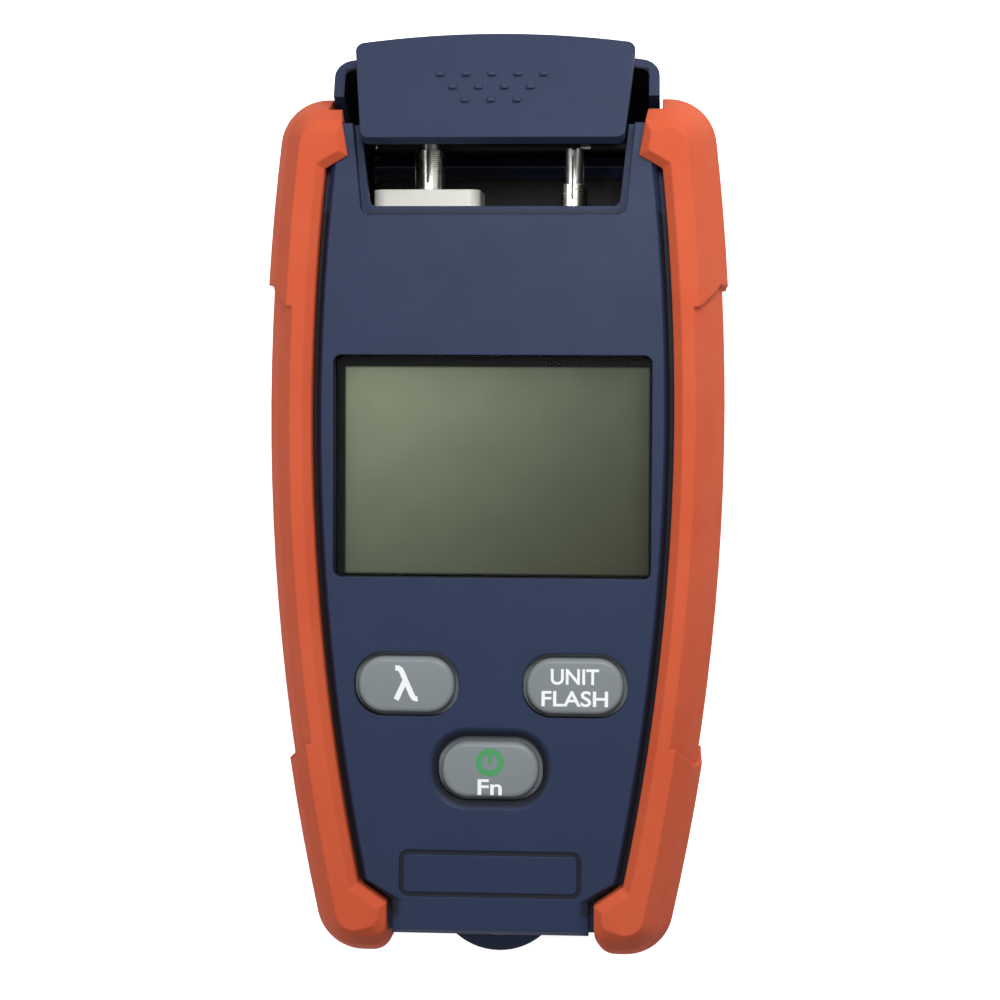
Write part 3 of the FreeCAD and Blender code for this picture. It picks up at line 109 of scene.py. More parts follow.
class Signal:
    """A node's output that sums and products can be written with."""

    def __init__(self, sheet: NodeSheet, socket: bpy.types.NodeSocket) -> None:
        """Keep the sheet and the socket that carries the value."""
        self.sheet = sheet
        self.socket = socket

    def _math(self, operation: str, first: Any, second: Any = 0.0) -> Signal:
        """Add one Math node.

        Args:
            operation: The Math node's operation.
            first: Its first value or signal.
            second: Its second value or signal.

        Returns:
            The result.
        """
        return self.sheet.signal("ShaderNodeMath", 0, {"operation": operation},
                                 {0: first, 1: second})

    def __add__(self, other: Any) -> Signal:
        """Sum."""
        return self._math("ADD", self, other)

    def __sub__(self, other: Any) -> Signal:
        """Difference."""
        return self._math("SUBTRACT", self, other)

    def __rsub__(self, other: Any) -> Signal:
        """Difference from a number."""
        return self._math("SUBTRACT", other, self)

    def __mul__(self, other: Any) -> Signal:
        """Product."""
        return self._math("MULTIPLY", self, other)

    def __truediv__(self, other: Any) -> Signal:
        """Quotient."""
        return self._math("DIVIDE", self, other)

    def __rtruediv__(self, other: Any) -> Signal:
        """Quotient of a number."""
        return self._math("DIVIDE", other, self)

    __radd__ = __add__
    __rmul__ = __mul__

    def power(self, exponent: float) -> Signal:
        """Raise to a power."""
        return self._math("POWER", self, exponent)

    def size(self) -> Signal:
        """Drop the sign."""
        return self._math("ABSOLUTE", self)

    def wave(self) -> Signal:
        """Take the sine."""
        return self._math("SINE", self)

    def larger(self, other: Any) -> Signal:
        """Take the larger of the two."""
        return self._math("MAXIMUM", self, other)

    def rise(self, low: float, high: float) -> Signal:
        """Go smoothly from 0 to 1.

        Args:
            low: Value at which the result leaves 0.
            high: Value at which it reaches 1.

        Returns:
            The smoothed step.
        """
        return self.sheet.signal("ShaderNodeMapRange", 0,
                                 {"interpolation_type": "SMOOTHSTEP"},
                                 {0: self, 1: low, 2: high})


class NodeSheet:
    """A node tree that is filled through one method."""

    def __init__(self, tree: bpy.types.NodeTree) -> None:
        """Keep the tree."""
        self.tree = tree

    def node(self, kind: str, settings: dict[str, Any] | None = None,
             inputs: dict[int | str, Any] | None = None) -> bpy.types.Node:
        """Add a node.

        Args:
            kind: The node's type.
            settings: Its properties, and "stops" for a colour ramp, set first.
            inputs: Values, signals or nodes' outputs for its sockets.

        Returns:
            The node.
        """
        made = self.tree.nodes.new(kind)
        for name, value in (settings or {}).items():
            if name == "stops":
                self._set_stops(made.color_ramp, value)
            else:
                setattr(made, name, value)
        for key, value in (inputs or {}).items():
            if isinstance(value, Signal):
                value = value.socket
            if isinstance(value, bpy.types.NodeSocket):
                self.tree.links.new(value, made.inputs[key])
            else:
                made.inputs[key].default_value = value
        return made

    @staticmethod
    def _set_stops(ramp: bpy.types.ColorRamp, stops: list[tuple[float, Colour]]) -> None:
        """Give a colour ramp its stops.

        Args:
            ramp: The ramp.
            stops: Places and colours in rising order.
        """
        while len(ramp.elements) < len(stops):
            ramp.elements.new(1.0)
        for element, (place, colour) in zip(ramp.elements, stops):
            element.position = place
            element.color = colour

    def signal(self, kind: str, output: int | str = 0,
               settings: dict[str, Any] | None = None,
               inputs: dict[int | str, Any] | None = None) -> Signal:
        """Add a node and wrap one of its outputs.

        Args:
            kind: The node's type.
            output: Which output to wrap.
            settings: Its properties.
            inputs: Values for its sockets.

        Returns:
            The wrapped output.
        """
        return Signal(self, self.node(kind, settings, inputs).outputs[output])


class Shading(NodeSheet):
    """The nodes of one material, read on Object coordinates."""

    def __init__(self, name: str) -> None:
        """Start a material with nothing but its output.

        Args:
            name: The material's name.
        """
        self.material = bpy.data.materials.new(name)
        self.material.use_nodes = True
        super().__init__(self.material.node_tree)
        self.tree.nodes.clear()
        self.output = self.node("ShaderNodeOutputMaterial")
        self.place = self.signal("ShaderNodeTexCoord", "Object")

    def axes(self, place: Signal | None = None) -> tuple[Signal, Signal, Signal]:
        """Split a place into across, along and up."""
        split = self.node("ShaderNodeSeparateXYZ", inputs={0: place or self.place})
        return tuple(Signal(self, split.outputs[index]) for index in range(3))

    def noise(self, grain: float, detail: float = 2.0, stretch: Vector | None = None
              ) -> Signal:
        """Cloudy noise from 0 to 1.

        Args:
            grain: Size of its clumps.
            detail: How many finer layers it has.
            stretch: How much each axis is squeezed.

        Returns:
            The noise.
        """
        place = self.place
        if stretch is not None:
            place = self.signal("ShaderNodeMapping", inputs={0: place, "Scale": stretch})
        return self.signal("ShaderNodeTexNoise", "Fac", inputs={
            "Vector": place, "Scale": 1 / grain, "Detail": detail})

    def blend(self, mask: Signal | float, first: Any, second: Any,
              mode: str = "MIX") -> Signal:
        """Mix two colours.

        Args:
            mask: How much of the second there is.
            first: Colour or signal where the mask is 0.
            second: Colour or signal where the mask is 1.
            mode: How they mix.

        Returns:
            The mixed colour.
        """
        return self.signal("ShaderNodeMix", 2,
                           {"data_type": "RGBA", "blend_type": mode},
                           {0: mask, 6: first, 7: second})

    def soft_edge(self, radius: float) -> Signal:
        """The surface's direction with its hard edges rounded."""
        return self.signal("ShaderNodeBevel", 0, {"samples": 6}, {"Radius": radius})

    def edge_mask(self, radius: float) -> Signal:
        """1 along hard edges and 0 on open faces.

        Args:
            radius: How far the mask reaches from an edge.

        Returns:
            The mask.
        """
        flat = self.signal("ShaderNodeNewGeometry", "Normal")
        facing = self.signal("ShaderNodeVectorMath", "Value", {"operation": "DOT_PRODUCT"},
                             {0: flat, 1: self.soft_edge(radius)})
        return (1 - facing).rise(0.01, 0.25)

    def relief(self, height: Signal, depth: float, under: Signal | None = None) -> Signal:
        """Raise the surface by a height from 0 to 1.

        Args:
            height: The height.
            depth: What a height of 1 stands for.
            under: The surface's direction before it.

        Returns:
            The new direction.
        """
        inputs: dict[int | str, Any] = {"Height": height, "Distance": depth}
        if under is not None:
            inputs["Normal"] = under
        return self.signal("ShaderNodeBump", "Normal", inputs=inputs)

    def finish(self, **sockets: Any) -> bpy.types.Material:
        """Close the material with one Principled shader.

        Args:
            sockets: Its sockets, with underscores for spaces.

        Returns:
            The material.
        """
        inputs = {name.replace("_", " "): value for name, value in sockets.items()}
        shader = self.node("ShaderNodeBsdfPrincipled", inputs=inputs)
        self.tree.links.new(shader.outputs[0], self.output.inputs[0])
        return self.material


# ---------------------------------------------------------------- finishes

@dataclass(frozen=True)
class Moulding:
    """Matt moulded plastic with a fine eroded grain and slightly rubbed edges."""

    name: str
    colour: Colour
    roughness: float = 0.5
    grain: float = 0.32 * MM
    depth: float = 0.018 * MM
    edge: float = 0.35 * MM
    rubbed: float = 0.25
    gloss: float = 0.5

    def shaded(self, sheet: Shading) -> Signal | Colour:
        """The plain colour before wear, which painted shade in hollows may change."""
        return self.colour

    def make(self) -> bpy.types.Material:
        """Build the material.

        Returns:
            The material.
        """
        sheet = Shading(self.name)
        cloud = sheet.noise(9 * MM, 3.0)
        fine = sheet.noise(self.grain, 1.0)
        edge = sheet.edge_mask(self.edge)
        dark = shade(self.colour, 0.86)
        pale = shade(self.colour, 1.35, 0.012)
        base = sheet.blend(cloud.rise(0.35, 0.7) * 0.45, self.shaded(sheet), dark, "DARKEN")
        worn = sheet.blend(edge * self.rubbed * (cloud + 0.5), base, pale)
        rough = self.roughness + (cloud - 0.5) * 0.12 + (fine - 0.5) * 0.1 - edge * 0.08
        normal = sheet.relief(fine, self.depth, sheet.soft_edge(self.edge))
        return sheet.finish(Base_Color=worn, Roughness=rough, Normal=normal,
                            Specular_IOR_Level=self.gloss)


@dataclass(frozen=True)
class HousingMoulding(Moulding):
    """The housing's plastic, with painted shade in its grooves and gaps and inside the port bay.
    """

    bay_half: float = 24.1 * MM
    bay_floor: float = 0.0
    bay_roof: float = 29.5 * MM
    bay_back: float = 2.5 * MM
    face: float = 34.2 * MM
    face_fade: float = 0.5 * MM
    # depth and strength of the painted shade below the face
    shade_reach: float = 16 * MM
    groove_shade: float = 0.85
    foot: float = -68.0 * MM
    end_fade: float = 1.0 * MM

    def shaded(self, sheet: Shading) -> Signal:
        """Navy, with painted shade: darker in grooves and gaps, nearly black inside the bay.

        Args:
            sheet: The material's nodes.

        Returns:
            The colour.
        """
        across, along, up = sheet.axes()
        # painted shade: surfaces sunk below the face, between the foot and the bay, darken
        # towards dark navy
        deepest = self.face - self.shade_reach
        sunk = ((1 - up.rise(self.face - self.face_fade, self.face - FADE))
                * up.rise(deepest, deepest + self.end_fade)
                * (1 - along.rise(self.bay_floor - self.end_fade, self.bay_floor))
                * along.rise(self.foot, self.foot + self.end_fade))
        colour = sheet.blend(sunk * self.groove_shade, self.colour, tint(16, 18, 24))
        # painted shade: the port bay's inside is painted nearly black
        inside = ((1 - across.size().rise(self.bay_half - FADE, self.bay_half))
                  * along.rise(self.bay_floor - 1.5 * FADE, self.bay_floor - 0.5 * FADE)
                  * up.rise(self.bay_back - 3 * FADE, self.bay_back - FADE)
                  * (1 - up.rise(self.bay_roof - 2 * FADE, self.bay_roof)))
        return sheet.blend(inside, colour, tint(3, 3, 4))


@dataclass(frozen=True)
class CapMoulding(Moulding):
    """The cap's plastic, with painted shade nearly black in its hollow and on its hinge barrel.
    """

    hinge: tuple[float, float] = (0.0, 0.0)
    lean: float = 0.0
    inner_half: float = 25.3 * MM
    inner_front: float = 25.6 * MM
    inner_crown: float = 4.0 * MM
    inner_spine: float = 2.7 * MM
    arch: float = 150 * MM

    def shaded(self, sheet: Shading) -> Signal:
        """Navy outside, with painted shade nearly black in the hollow behind the skirt.

        Args:
            sheet: The material's nodes.

        Returns:
            The colour.
        """
        turned = sheet.signal("ShaderNodeVectorRotate", 0, {"rotation_type": "X_AXIS"}, {
            "Vector": sheet.place, "Center": Vector((0, *self.hinge)), "Angle": -self.lean})
        across, along, up = sheet.axes(turned)
        front = self.hinge[1] + self.inner_front
        roof = along - self.hinge[0] + across * across / (2 * self.arch)
        between = 1 - across.size().rise(self.inner_half - FADE, self.inner_half)
        # painted shade in the hollow under the roof and behind the skirt
        inside = (between
                  * (1 - roof.rise(self.inner_crown + 2 * FADE, self.inner_crown + 4 * FADE))
                  * (1 - up.rise(front - FADE, front))
                  * up.rise(self.hinge[1] + 2 * FADE, self.hinge[1] + 4 * FADE))
        # painted shade on the hinge barrel at the back of the hollow
        away = ((along - self.hinge[0]).power(2.0) + (up - self.hinge[1]).power(2.0)).power(0.5)
        spine = (1 - away.rise(self.inner_spine, self.inner_spine + 1.5 * FADE)) * between
        hollow = inside + spine * (1 - inside)
        return sheet.blend(hollow, self.colour, tint(4, 4, 6))


@dataclass(frozen=True)
class Rubber:
    """Soft overmoulded rubber with a velvety grain, paler along its edges: rubbed wear and a
    painted edge highlight.
    """

    name: str
    colour: Colour
    deep: Colour

    def make(self) -> bpy.types.Material:
        """Build the material.

        Returns:
            The material.
        """
        sheet = Shading(self.name)
        cloud = sheet.noise(14 * MM, 4.0)
        pores = sheet.noise(0.45 * MM, 3.0)
        edge = sheet.edge_mask(0.7 * MM)
        flow = sheet.noise(3 * MM, 2.0, Vector((1.0, 0.18, 1.0)))
        base = sheet.blend(cloud.rise(0.3, 0.75) * 0.35, self.colour, self.deep)
        # paler edges: rubbed wear and a painted edge highlight
        pale = shade(self.colour, 1.12, 0.02)
        worn = sheet.blend(edge * (flow * 0.5 + 0.1), base, pale)
        rough = 0.76 + (cloud - 0.5) * 0.14 - edge * 0.1 + (pores - 0.5) * 0.1
        normal = sheet.relief(pores, 0.02 * MM, sheet.soft_edge(0.55 * MM))
        return sheet.finish(Base_Color=worn, Roughness=rough, Normal=normal, IOR=1.2)


@dataclass(frozen=True)
class TurnedMetal:
    """Plated metal turned on a lathe, with rings along its axis."""

    name: str
    colour: Colour
    roughness: float = 0.22
    pitch: float = 0.35 * MM

    def make(self) -> bpy.types.Material:
        """Build the material.

        Returns:
            The material.
        """
        sheet = Shading(self.name)
        _, along, _ = sheet.axes()
        rings = (along * (2 * math.pi / self.pitch)).wave() * 0.5 + 0.5
        cloud = sheet.noise(1.5 * MM, 3.0)
        dull = shade(self.colour, 0.62)
        base = sheet.blend(cloud.rise(0.45, 0.8) * 0.5, self.colour, dull)
        rough = self.roughness + (cloud - 0.5) * 0.14 + rings * 0.05
        normal = sheet.relief(rings, 0.004 * MM, sheet.soft_edge(0.12 * MM))
        return sheet.finish(Base_Color=base, Metallic=1.0, Roughness=rough, Normal=normal)


@dataclass(frozen=True)
class BrushedSteel:
    """Bright steel with fine scratches in no one direction."""

    name: str
    colour: Colour

    def make(self) -> bpy.types.Material:
        """Build the material.

        Returns:
            The material.
        """
        sheet = Shading(self.name)
        scratch = sheet.noise(0.25 * MM, 3.0, Vector((1.0, 1.0, 0.15)))
        cloud = sheet.noise(2 * MM, 2.0)
        dull = shade(self.colour, 0.7)
        base = sheet.blend(cloud.rise(0.4, 0.8) * 0.6, self.colour, dull)
        rough = 0.24 + scratch * 0.12
        normal = sheet.relief(scratch, 0.006 * MM, sheet.soft_edge(0.1 * MM))
        return sheet.finish(Base_Color=base, Metallic=1.0, Roughness=rough, Normal=normal)


@dataclass(frozen=True)
class LiquidCrystal:
    """The grey-green glass of a display at rest, with a painted reflection of the lamps that
    leaves it darker away from the light.
    """

    name: str
    centre: tuple[float, float]
    half: tuple[float, float]
    upper_left: Colour
    upper_right: Colour
    lower_left: Colour
    lower_right: Colour
    frame_and_rim_shadow: Colour
    frame_and_shadow_margins: tuple[float, float, float, float]
    reach: float = 1.15
    soft: float = 0.25 * MM
    pitch: float = 0.6 * MM

    def make(self) -> bpy.types.Material:
        """Build the material.

        Returns:
            The material.
        """
        sheet = Shading(self.name)
        across, along, _ = sheet.axes()
        # painted reflection: the glass's colour runs from pale at the upper left to dark at the
        # lower right
        right = ((across - self.centre[0]) / self.half[0]).rise(-self.reach, self.reach)
        high = ((along - self.centre[1]) / self.half[1]).rise(-self.reach, self.reach)
        lower = sheet.blend(right, self.lower_left, self.lower_right)
        upper = sheet.blend(right, self.upper_left, self.upper_right)
        glass = sheet.blend(high, lower, upper)
        # the dark frame is real; its wider left and top margins are a painted shadow of the
        # window's rim
        left_in, right_in, low_in, high_in = self.frame_and_shadow_margins
        x_low, x_high = self.centre[0] - self.half[0], self.centre[0] + self.half[0]
        y_low, y_high = self.centre[1] - self.half[1], self.centre[1] + self.half[1]
        soft = self.soft
        shown = (across.rise(x_low + left_in - soft, x_low + left_in + soft)
                 * (1 - across.rise(x_high - right_in - soft, x_high - right_in + soft))
                 * along.rise(y_low + low_in - soft, y_low + low_in + soft)
                 * (1 - along.rise(y_high - high_in - soft, y_high - high_in + soft)))
        turns = 2 * math.pi / self.pitch
        cell = ((across * turns).wave() * (along * turns).wave()) * 0.5 + 0.5
        mura = sheet.noise(6 * MM, 3.0)
        glass = sheet.blend((mura.rise(0.3, 0.8) * 0.10) + cell * 0.02, glass,
                            tint(40, 43, 34))
        base = sheet.blend(shown, self.frame_and_rim_shadow, glass)
        return sheet.finish(Base_Color=base, Roughness=0.35 + (mura - 0.5) * 0.06,
                            Specular_IOR_Level=0.03)


@dataclass(frozen=True)
class ClearWindow:
    """A clear window that only adds its gloss, with faint smears on it."""

    name: str

    def make(self) -> bpy.types.Material:
        """Build the material.

        Returns:
            The material.
        """
        sheet = Shading(self.name)
        smear = sheet.noise(7 * MM, 4.0, Vector((1.0, 0.35, 1.0)))
        rough = 0.05 + smear.rise(0.45, 0.75) * 0.08
        gloss = sheet.node("ShaderNodeBsdfGlossy", inputs={
            "Color": (1.0, 1.0, 1.0, 1.0), "Roughness": rough})
        clear = sheet.node("ShaderNodeBsdfTransparent", inputs={
            "Color": (0.97, 0.975, 0.965, 1.0)})
        facing = sheet.signal("ShaderNodeFresnel", inputs={"IOR": 1.46})
        mixed = sheet.node("ShaderNodeMixShader", inputs={
            0: facing * 0.1, 1: clear.outputs[0], 2: gloss.outputs[0]})
        sheet.tree.links.new(mixed.outputs[0], sheet.output.inputs[0])
        return sheet.material


@dataclass(frozen=True)
class Ink:
    """Screen-printed ink, a little uneven and dusty."""

    name: str
    colour: Colour

    def make(self) -> bpy.types.Material:
        """Build the material.

        Returns:
            The material.
        """
        sheet = Shading(self.name)
        specks = sheet.noise(0.2 * MM, 2.0)
        dark = shade(self.colour, 0.8)
        base = sheet.blend(specks.rise(0.5, 0.85) * 0.6, self.colour, dark)
        return sheet.finish(Base_Color=base, Roughness=0.5 + (specks - 0.5) * 0.2,
                            Normal=sheet.relief(specks, 0.004 * MM))


@dataclass(frozen=True)
class SolderMask:
    """A green board with buried tracks."""

    name: str

    def make(self) -> bpy.types.Material:
        """Build the material.

        Returns:
            The material.
        """
        sheet = Shading(self.name)
        tracks = sheet.signal("ShaderNodeTexVoronoi", "Distance", {
            "feature": "DISTANCE_TO_EDGE", "distance": "EUCLIDEAN"}, {
            "Vector": sheet.place, "Scale": 1 / (3.2 * MM)})
        line = 1 - tracks.rise(0.03, 0.09)
        base = sheet.blend(line, tint(22, 86, 48), tint(34, 112, 62))
        return sheet.finish(Base_Color=base, Roughness=0.32 - line * 0.08,
                            Normal=sheet.relief(line, 0.03 * MM))


@dataclass(frozen=True)
class CellSleeve:
    """A battery's shrink sleeve: two colours that meet in a ring."""

    name: str
    body: Colour
    band: Colour
    joint: float

    def make(self) -> bpy.types.Material:
        """Build the material.

        Returns:
            The material.
        """
        sheet = Shading(self.name)
        _, along, _ = sheet.axes()
        film = sheet.noise(2.5 * MM, 3.0, Vector((1.0, 0.3, 1.0)))
        ring = along.rise(self.joint - 0.1 * MM, self.joint + 0.1 * MM)
        base = sheet.blend(ring, self.body, self.band)
        return sheet.finish(Base_Color=sheet.blend(film * 0.15, base, tint(20, 20, 22)),
                            Roughness=0.3 + film * 0.15,
                            Normal=sheet.relief(film, 0.02 * MM, sheet.soft_edge(0.4 * MM)))


# ---------------------------------------------------------------- mesh helpers

class Body(Enum):
    """The moving bodies of the frame."""

    HOUSING = "housing"
    CAP = "cap"
    WAVELENGTH = "key_wavelength_body"
    UNIT = "key_unit_body"
    POWER = "key_power_body"
    DOOR = "door"


class Slot(Enum):
    """The material slots that new pieces take their finish from."""

    HOUSING = "housing_plastic"
    KEY = "key_plastic"
    STEEL = "steel"


def show(name: str, mesh: bpy.types.Mesh, material: bpy.types.Material
         ) -> bpy.types.Object:
    """Put a mesh in the scene as a piece with one material.

    Args:
        name: The piece's name.
        mesh: Its mesh, already in place.
        material: Its finish.

    Returns:
        The piece.
    """
    mesh.name = name
    mesh.materials.clear()
    mesh.materials.append(material)
    piece = bpy.data.objects.new(name, mesh)
    bpy.context.scene.collection.objects.link(piece)
    return piece


def to_mesh(shape: bmesh.types.BMesh, name: str, crease: float = 35.0) -> bpy.types.Mesh:
    """Close a shape's work: normals out, smooth but for its creases.

    Args:
        shape: The shape, which is used up.
        name: The mesh's name.
        crease: Angle in degrees past which an edge stays sharp.

    Returns:
        The mesh.
    """
    bmesh.ops.remove_doubles(shape, verts=shape.verts, dist=1e-7)
    bmesh.ops.recalc_face_normals(shape, faces=shape.faces)
    for face in shape.faces:
        face.smooth = True
    for edge in shape.edges:
        if len(edge.link_faces) == 2:
            edge.smooth = edge.calc_face_angle() < math.radians(crease)
    mesh = bpy.data.meshes.new(name)
    shape.to_mesh(mesh)
    shape.free()
    return mesh


def skin(shape: bmesh.types.BMesh, rings: list[list[Vector]]) -> None:
    """Join rings of equal count by quads and close both ends.

    Args:
        shape: The shape to add to.
        rings: Rings of points, in order.
    """
    made = [[shape.verts.new(point) for point in ring] for ring in rings]
    for lower, upper in zip(made, made[1:]):
        for index in range(len(lower)):
            after = (index + 1) % len(lower)
            shape.faces.new((lower[index], lower[after], upper[after], upper[index]))
    shape.faces.new(list(reversed(made[0])))
    shape.faces.new(made[-1])


def rounded(half_wide: float, half_high: float, corner: float, steps: int = 8
            ) -> list[Point]:
    """Points round a rectangle with round corners, about its middle.

    Args:
        half_wide: Half its width.
        half_high: Half its height.
        corner: Its corner radius.
        steps: Steps in each corner.

    Returns:
        The points, anticlockwise.
    """
    points = []
    for quarter, (x_sign, y_sign) in enumerate(((1, 1), (-1, 1), (-1, -1), (1, -1))):
        for step in range(steps + 1):
            angle = math.pi / 2 * (quarter + step / steps)
            points.append((x_sign * (half_wide - corner) + corner * math.cos(angle),
                           y_sign * (half_high - corner) + corner * math.sin(angle)))
    return points


def circle(radius: float, count: int = 32) -> list[Point]:
    """Points round a circle."""
    return [(radius * math.cos(2 * math.pi * step / count),
             radius * math.sin(2 * math.pi * step / count)) for step in range(count)]


def lift(points: list[Point], height: float) -> list[Vector]:
    """Stand flat points at a height."""
    return [Vector((x, y, height)) for x, y in points]


def ribbon(path: list[Point], width: float) -> list[Point]:
    """The outline of a stroke of even width along a path.

    Args:
        path: The stroke's middle.
        width: Its width.

    Returns:
        The outline, once round.
    """
    left, right = [], []
    for index, (x, y) in enumerate(path):
        before = path[max(index - 1, 0)]
        after = path[min(index + 1, len(path) - 1)]
        along = Vector((after[0] - before[0], after[1] - before[1])).normalized()
        left.append((x - along.y * width / 2, y + along.x * width / 2))
        right.append((x + along.y * width / 2, y - along.x * width / 2))
    return left + right[::-1]


def slab(shape: bmesh.types.BMesh, outline: list[Point], low: float, high: float) -> None:
    """Add an upright-sided slab with an outline."""
    skin(shape, [lift(outline, low), lift(outline, high)])


def centre_of(low: Vector, high: Vector) -> Point:
    """The middle of a box, across and along."""
    return (low[0] + high[0]) / 2, (low[1] + high[1]) / 2


# ---------------------------------------------------------------- repeated pieces

class Scatter:
    """Repeats one shape over points with Geometry Nodes and makes it plain mesh."""

    def __init__(self, name: str, material: bpy.types.Material) -> None:
        """Build the tree, with named inputs for its spots, shape, turn and size.

        Args:
            name: The finished piece's name.
            material: Its finish.
        """
        self.name = name
        self.material = material
        tree = bpy.data.node_groups.new(f"{name}_tree", "GeometryNodeTree")
        for label, kind in (("Spots", "NodeSocketGeometry"), ("Shape", "NodeSocketObject"),
                            ("Lean", "NodeSocketVector"), ("Random turn", "NodeSocketFloat"),
                            ("Seed", "NodeSocketInt"), ("Size", "NodeSocketFloat")):
            tree.interface.new_socket(label, in_out="INPUT", socket_type=kind)
        tree.interface.new_socket("Pieces", in_out="OUTPUT", socket_type="NodeSocketGeometry")
        sheet = NodeSheet(tree)
        given = sheet.node("NodeGroupInput")
        shape = sheet.signal("GeometryNodeObjectInfo", "Geometry",
                             {"transform_space": "ORIGINAL"}, {"Object": given.outputs["Shape"]})
        turn = sheet.signal("FunctionNodeRandomValue", 1, {"data_type": "FLOAT"}, {
            2: 0.0, 3: given.outputs["Random turn"], "Seed": given.outputs["Seed"]})
        spin = sheet.signal("ShaderNodeCombineXYZ", inputs={2: turn})
        lean = sheet.signal("ShaderNodeVectorMath", 0, {"operation": "ADD"},
                            {0: given.outputs["Lean"], 1: spin})
        points = sheet.node("GeometryNodeMeshToPoints", inputs={
            "Mesh": given.outputs["Spots"]})
        placed = sheet.node("GeometryNodeInstanceOnPoints", inputs={
            "Points": points.outputs[0], "Instance": shape, "Rotation": lean,
            "Scale": given.outputs["Size"]})
        real = sheet.node("GeometryNodeRealizeInstances", inputs={0: placed.outputs[0]})
        dressed = sheet.node("GeometryNodeSetMaterial", inputs={
            0: real.outputs[0], "Material": material})
        sheet.node("NodeGroupOutput", inputs={0: dressed.outputs[0]})
        self.tree = tree

    def lay(self, shape: bpy.types.Mesh, spots: list[Vector], lean: Vector,
            random_turn: float = 0.0, seed: int = 4, size: float = 1.0
            ) -> bpy.types.Object:
        """Lay the shape at every spot.

        Args:
            shape: What is repeated, about its own origin.
            spots: Where each goes.
            lean: How all of them are turned, in radians about X, Y and Z.
            random_turn: The most that each turns about Z besides.
            seed: The seed of those turns.
            size: How many times its own size each is.

        Returns:
            The finished piece as one plain mesh.
        """
        pattern = bpy.data.objects.new(f"{self.name}_pattern", shape)
        holder_mesh = bpy.data.meshes.new(f"{self.name}_spots")
        holder_mesh.from_pydata(spots, [], [])
        holder = bpy.data.objects.new(f"{self.name}_holder", holder_mesh)
        bpy.context.scene.collection.objects.link(holder)
        modifier = holder.modifiers.new("scatter", "NODES")
        modifier.node_group = self.tree
        values = {"Shape": pattern, "Lean": lean, "Random turn": random_turn,
                  "Seed": seed, "Size": size}
        for socket in self.tree.interface.items_tree:
            if socket.in_out == "INPUT" and socket.name in values:
                modifier[socket.identifier] = values[socket.name]
        bpy.context.view_layer.update()
        held = holder.evaluated_get(bpy.context.evaluated_depsgraph_get())
        mesh = bpy.data.meshes.new_from_object(held)
        holder.modifiers.remove(modifier)
        bpy.data.objects.remove(holder)
        bpy.data.objects.remove(pattern)
        return show(self.name, mesh, self.material)


# ---------------------------------------------------------------- sub-assemblies

@dataclass
class CarriedNodes:
    """The frame's own nodes, each with the finish of its material slot."""

    nodes: dict[str, bpy.types.Object]
    subparts: list[dict[str, str]]

    def dress(self, finishes: dict[str, bpy.types.Material],
              special: dict[str, bpy.types.Material]) -> None:
        """Give every node its finish.

        Args:
            finishes: Materials by slot.
            special: Materials of single nodes, which come first.
        """
        for part in self.subparts:
            node = self.nodes[part["node"]]
            material = special.get(part["node"], finishes[part["material_slot"]])
            node.data.materials.clear()
            node.data.materials.append(material)


@dataclass
class ThumbNubs:
    """Three rows of little ramps on the front of the cap."""

    hinge: tuple[float, float]
    lean: float
    front: float
    first_row: float
    row_pitch: float = 2.42 * MM
    pitch: float = 4.24 * MM
    aside: float = -0.35 * MM
    rows: tuple[int, ...] = (5, 4, 3)
    long: float = 1.5 * MM
    high: float = 1.1 * MM
    proud: float = 0.5 * MM
    sunk: float = 0.1 * MM
    corner: float = 0.35 * MM
    # each tier: its share of the width and the height, its shift, its rise and its slope
    tiers: tuple[tuple[float, float, float, float, float], ...] = (
        (0.96, 0.96, 0.0, 0.25, 0.25),
        (0.7, 0.72, -0.1 * MM, 0.62, 0.7),
        (0.3, 0.3, -0.14 * MM, 0.74, 0.5))

    def ramp(self) -> bpy.types.Mesh:
        """One nub: steep at its foot, running out upwards.

        Returns:
            The mesh.
        """
        shape = bmesh.new()
        base = rounded(self.long / 2, self.high / 2, self.corner, 4)
        rings = [lift(base, -self.sunk)]
        for wide, tall, shift, rise, slope in self.tiers:
            rings.append([Vector((x * wide, y * tall + shift,
                                  self.proud * (rise - slope * y / self.high)))
                          for x, y in base])
        skin(shape, rings)
        return to_mesh(shape, "nub_ramp", 60.0)

    def build(self, material: bpy.types.Material) -> bpy.types.Object:
        """Lay the nubs on the tilted skirt and let them ride on the cap.

        Args:
            material: The cap's finish.

        Returns:
            The piece.
        """
        turn = Matrix.Rotation(self.lean, 4, "X")
        spots = []
        for row, count in enumerate(self.rows):
            for index in range(count):
                spot = Vector((self.aside + (index - (count - 1) / 2) * self.pitch,
                               self.first_row - row * self.row_pitch, self.front))
                spots.append(turn @ spot + Vector((0, *self.hinge)))
        piece = Scatter("cap_nubs", material).lay(self.ramp(), spots,
                                                  Vector((self.lean, 0, 0)))
        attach(piece, Body.CAP.value)
        return piece


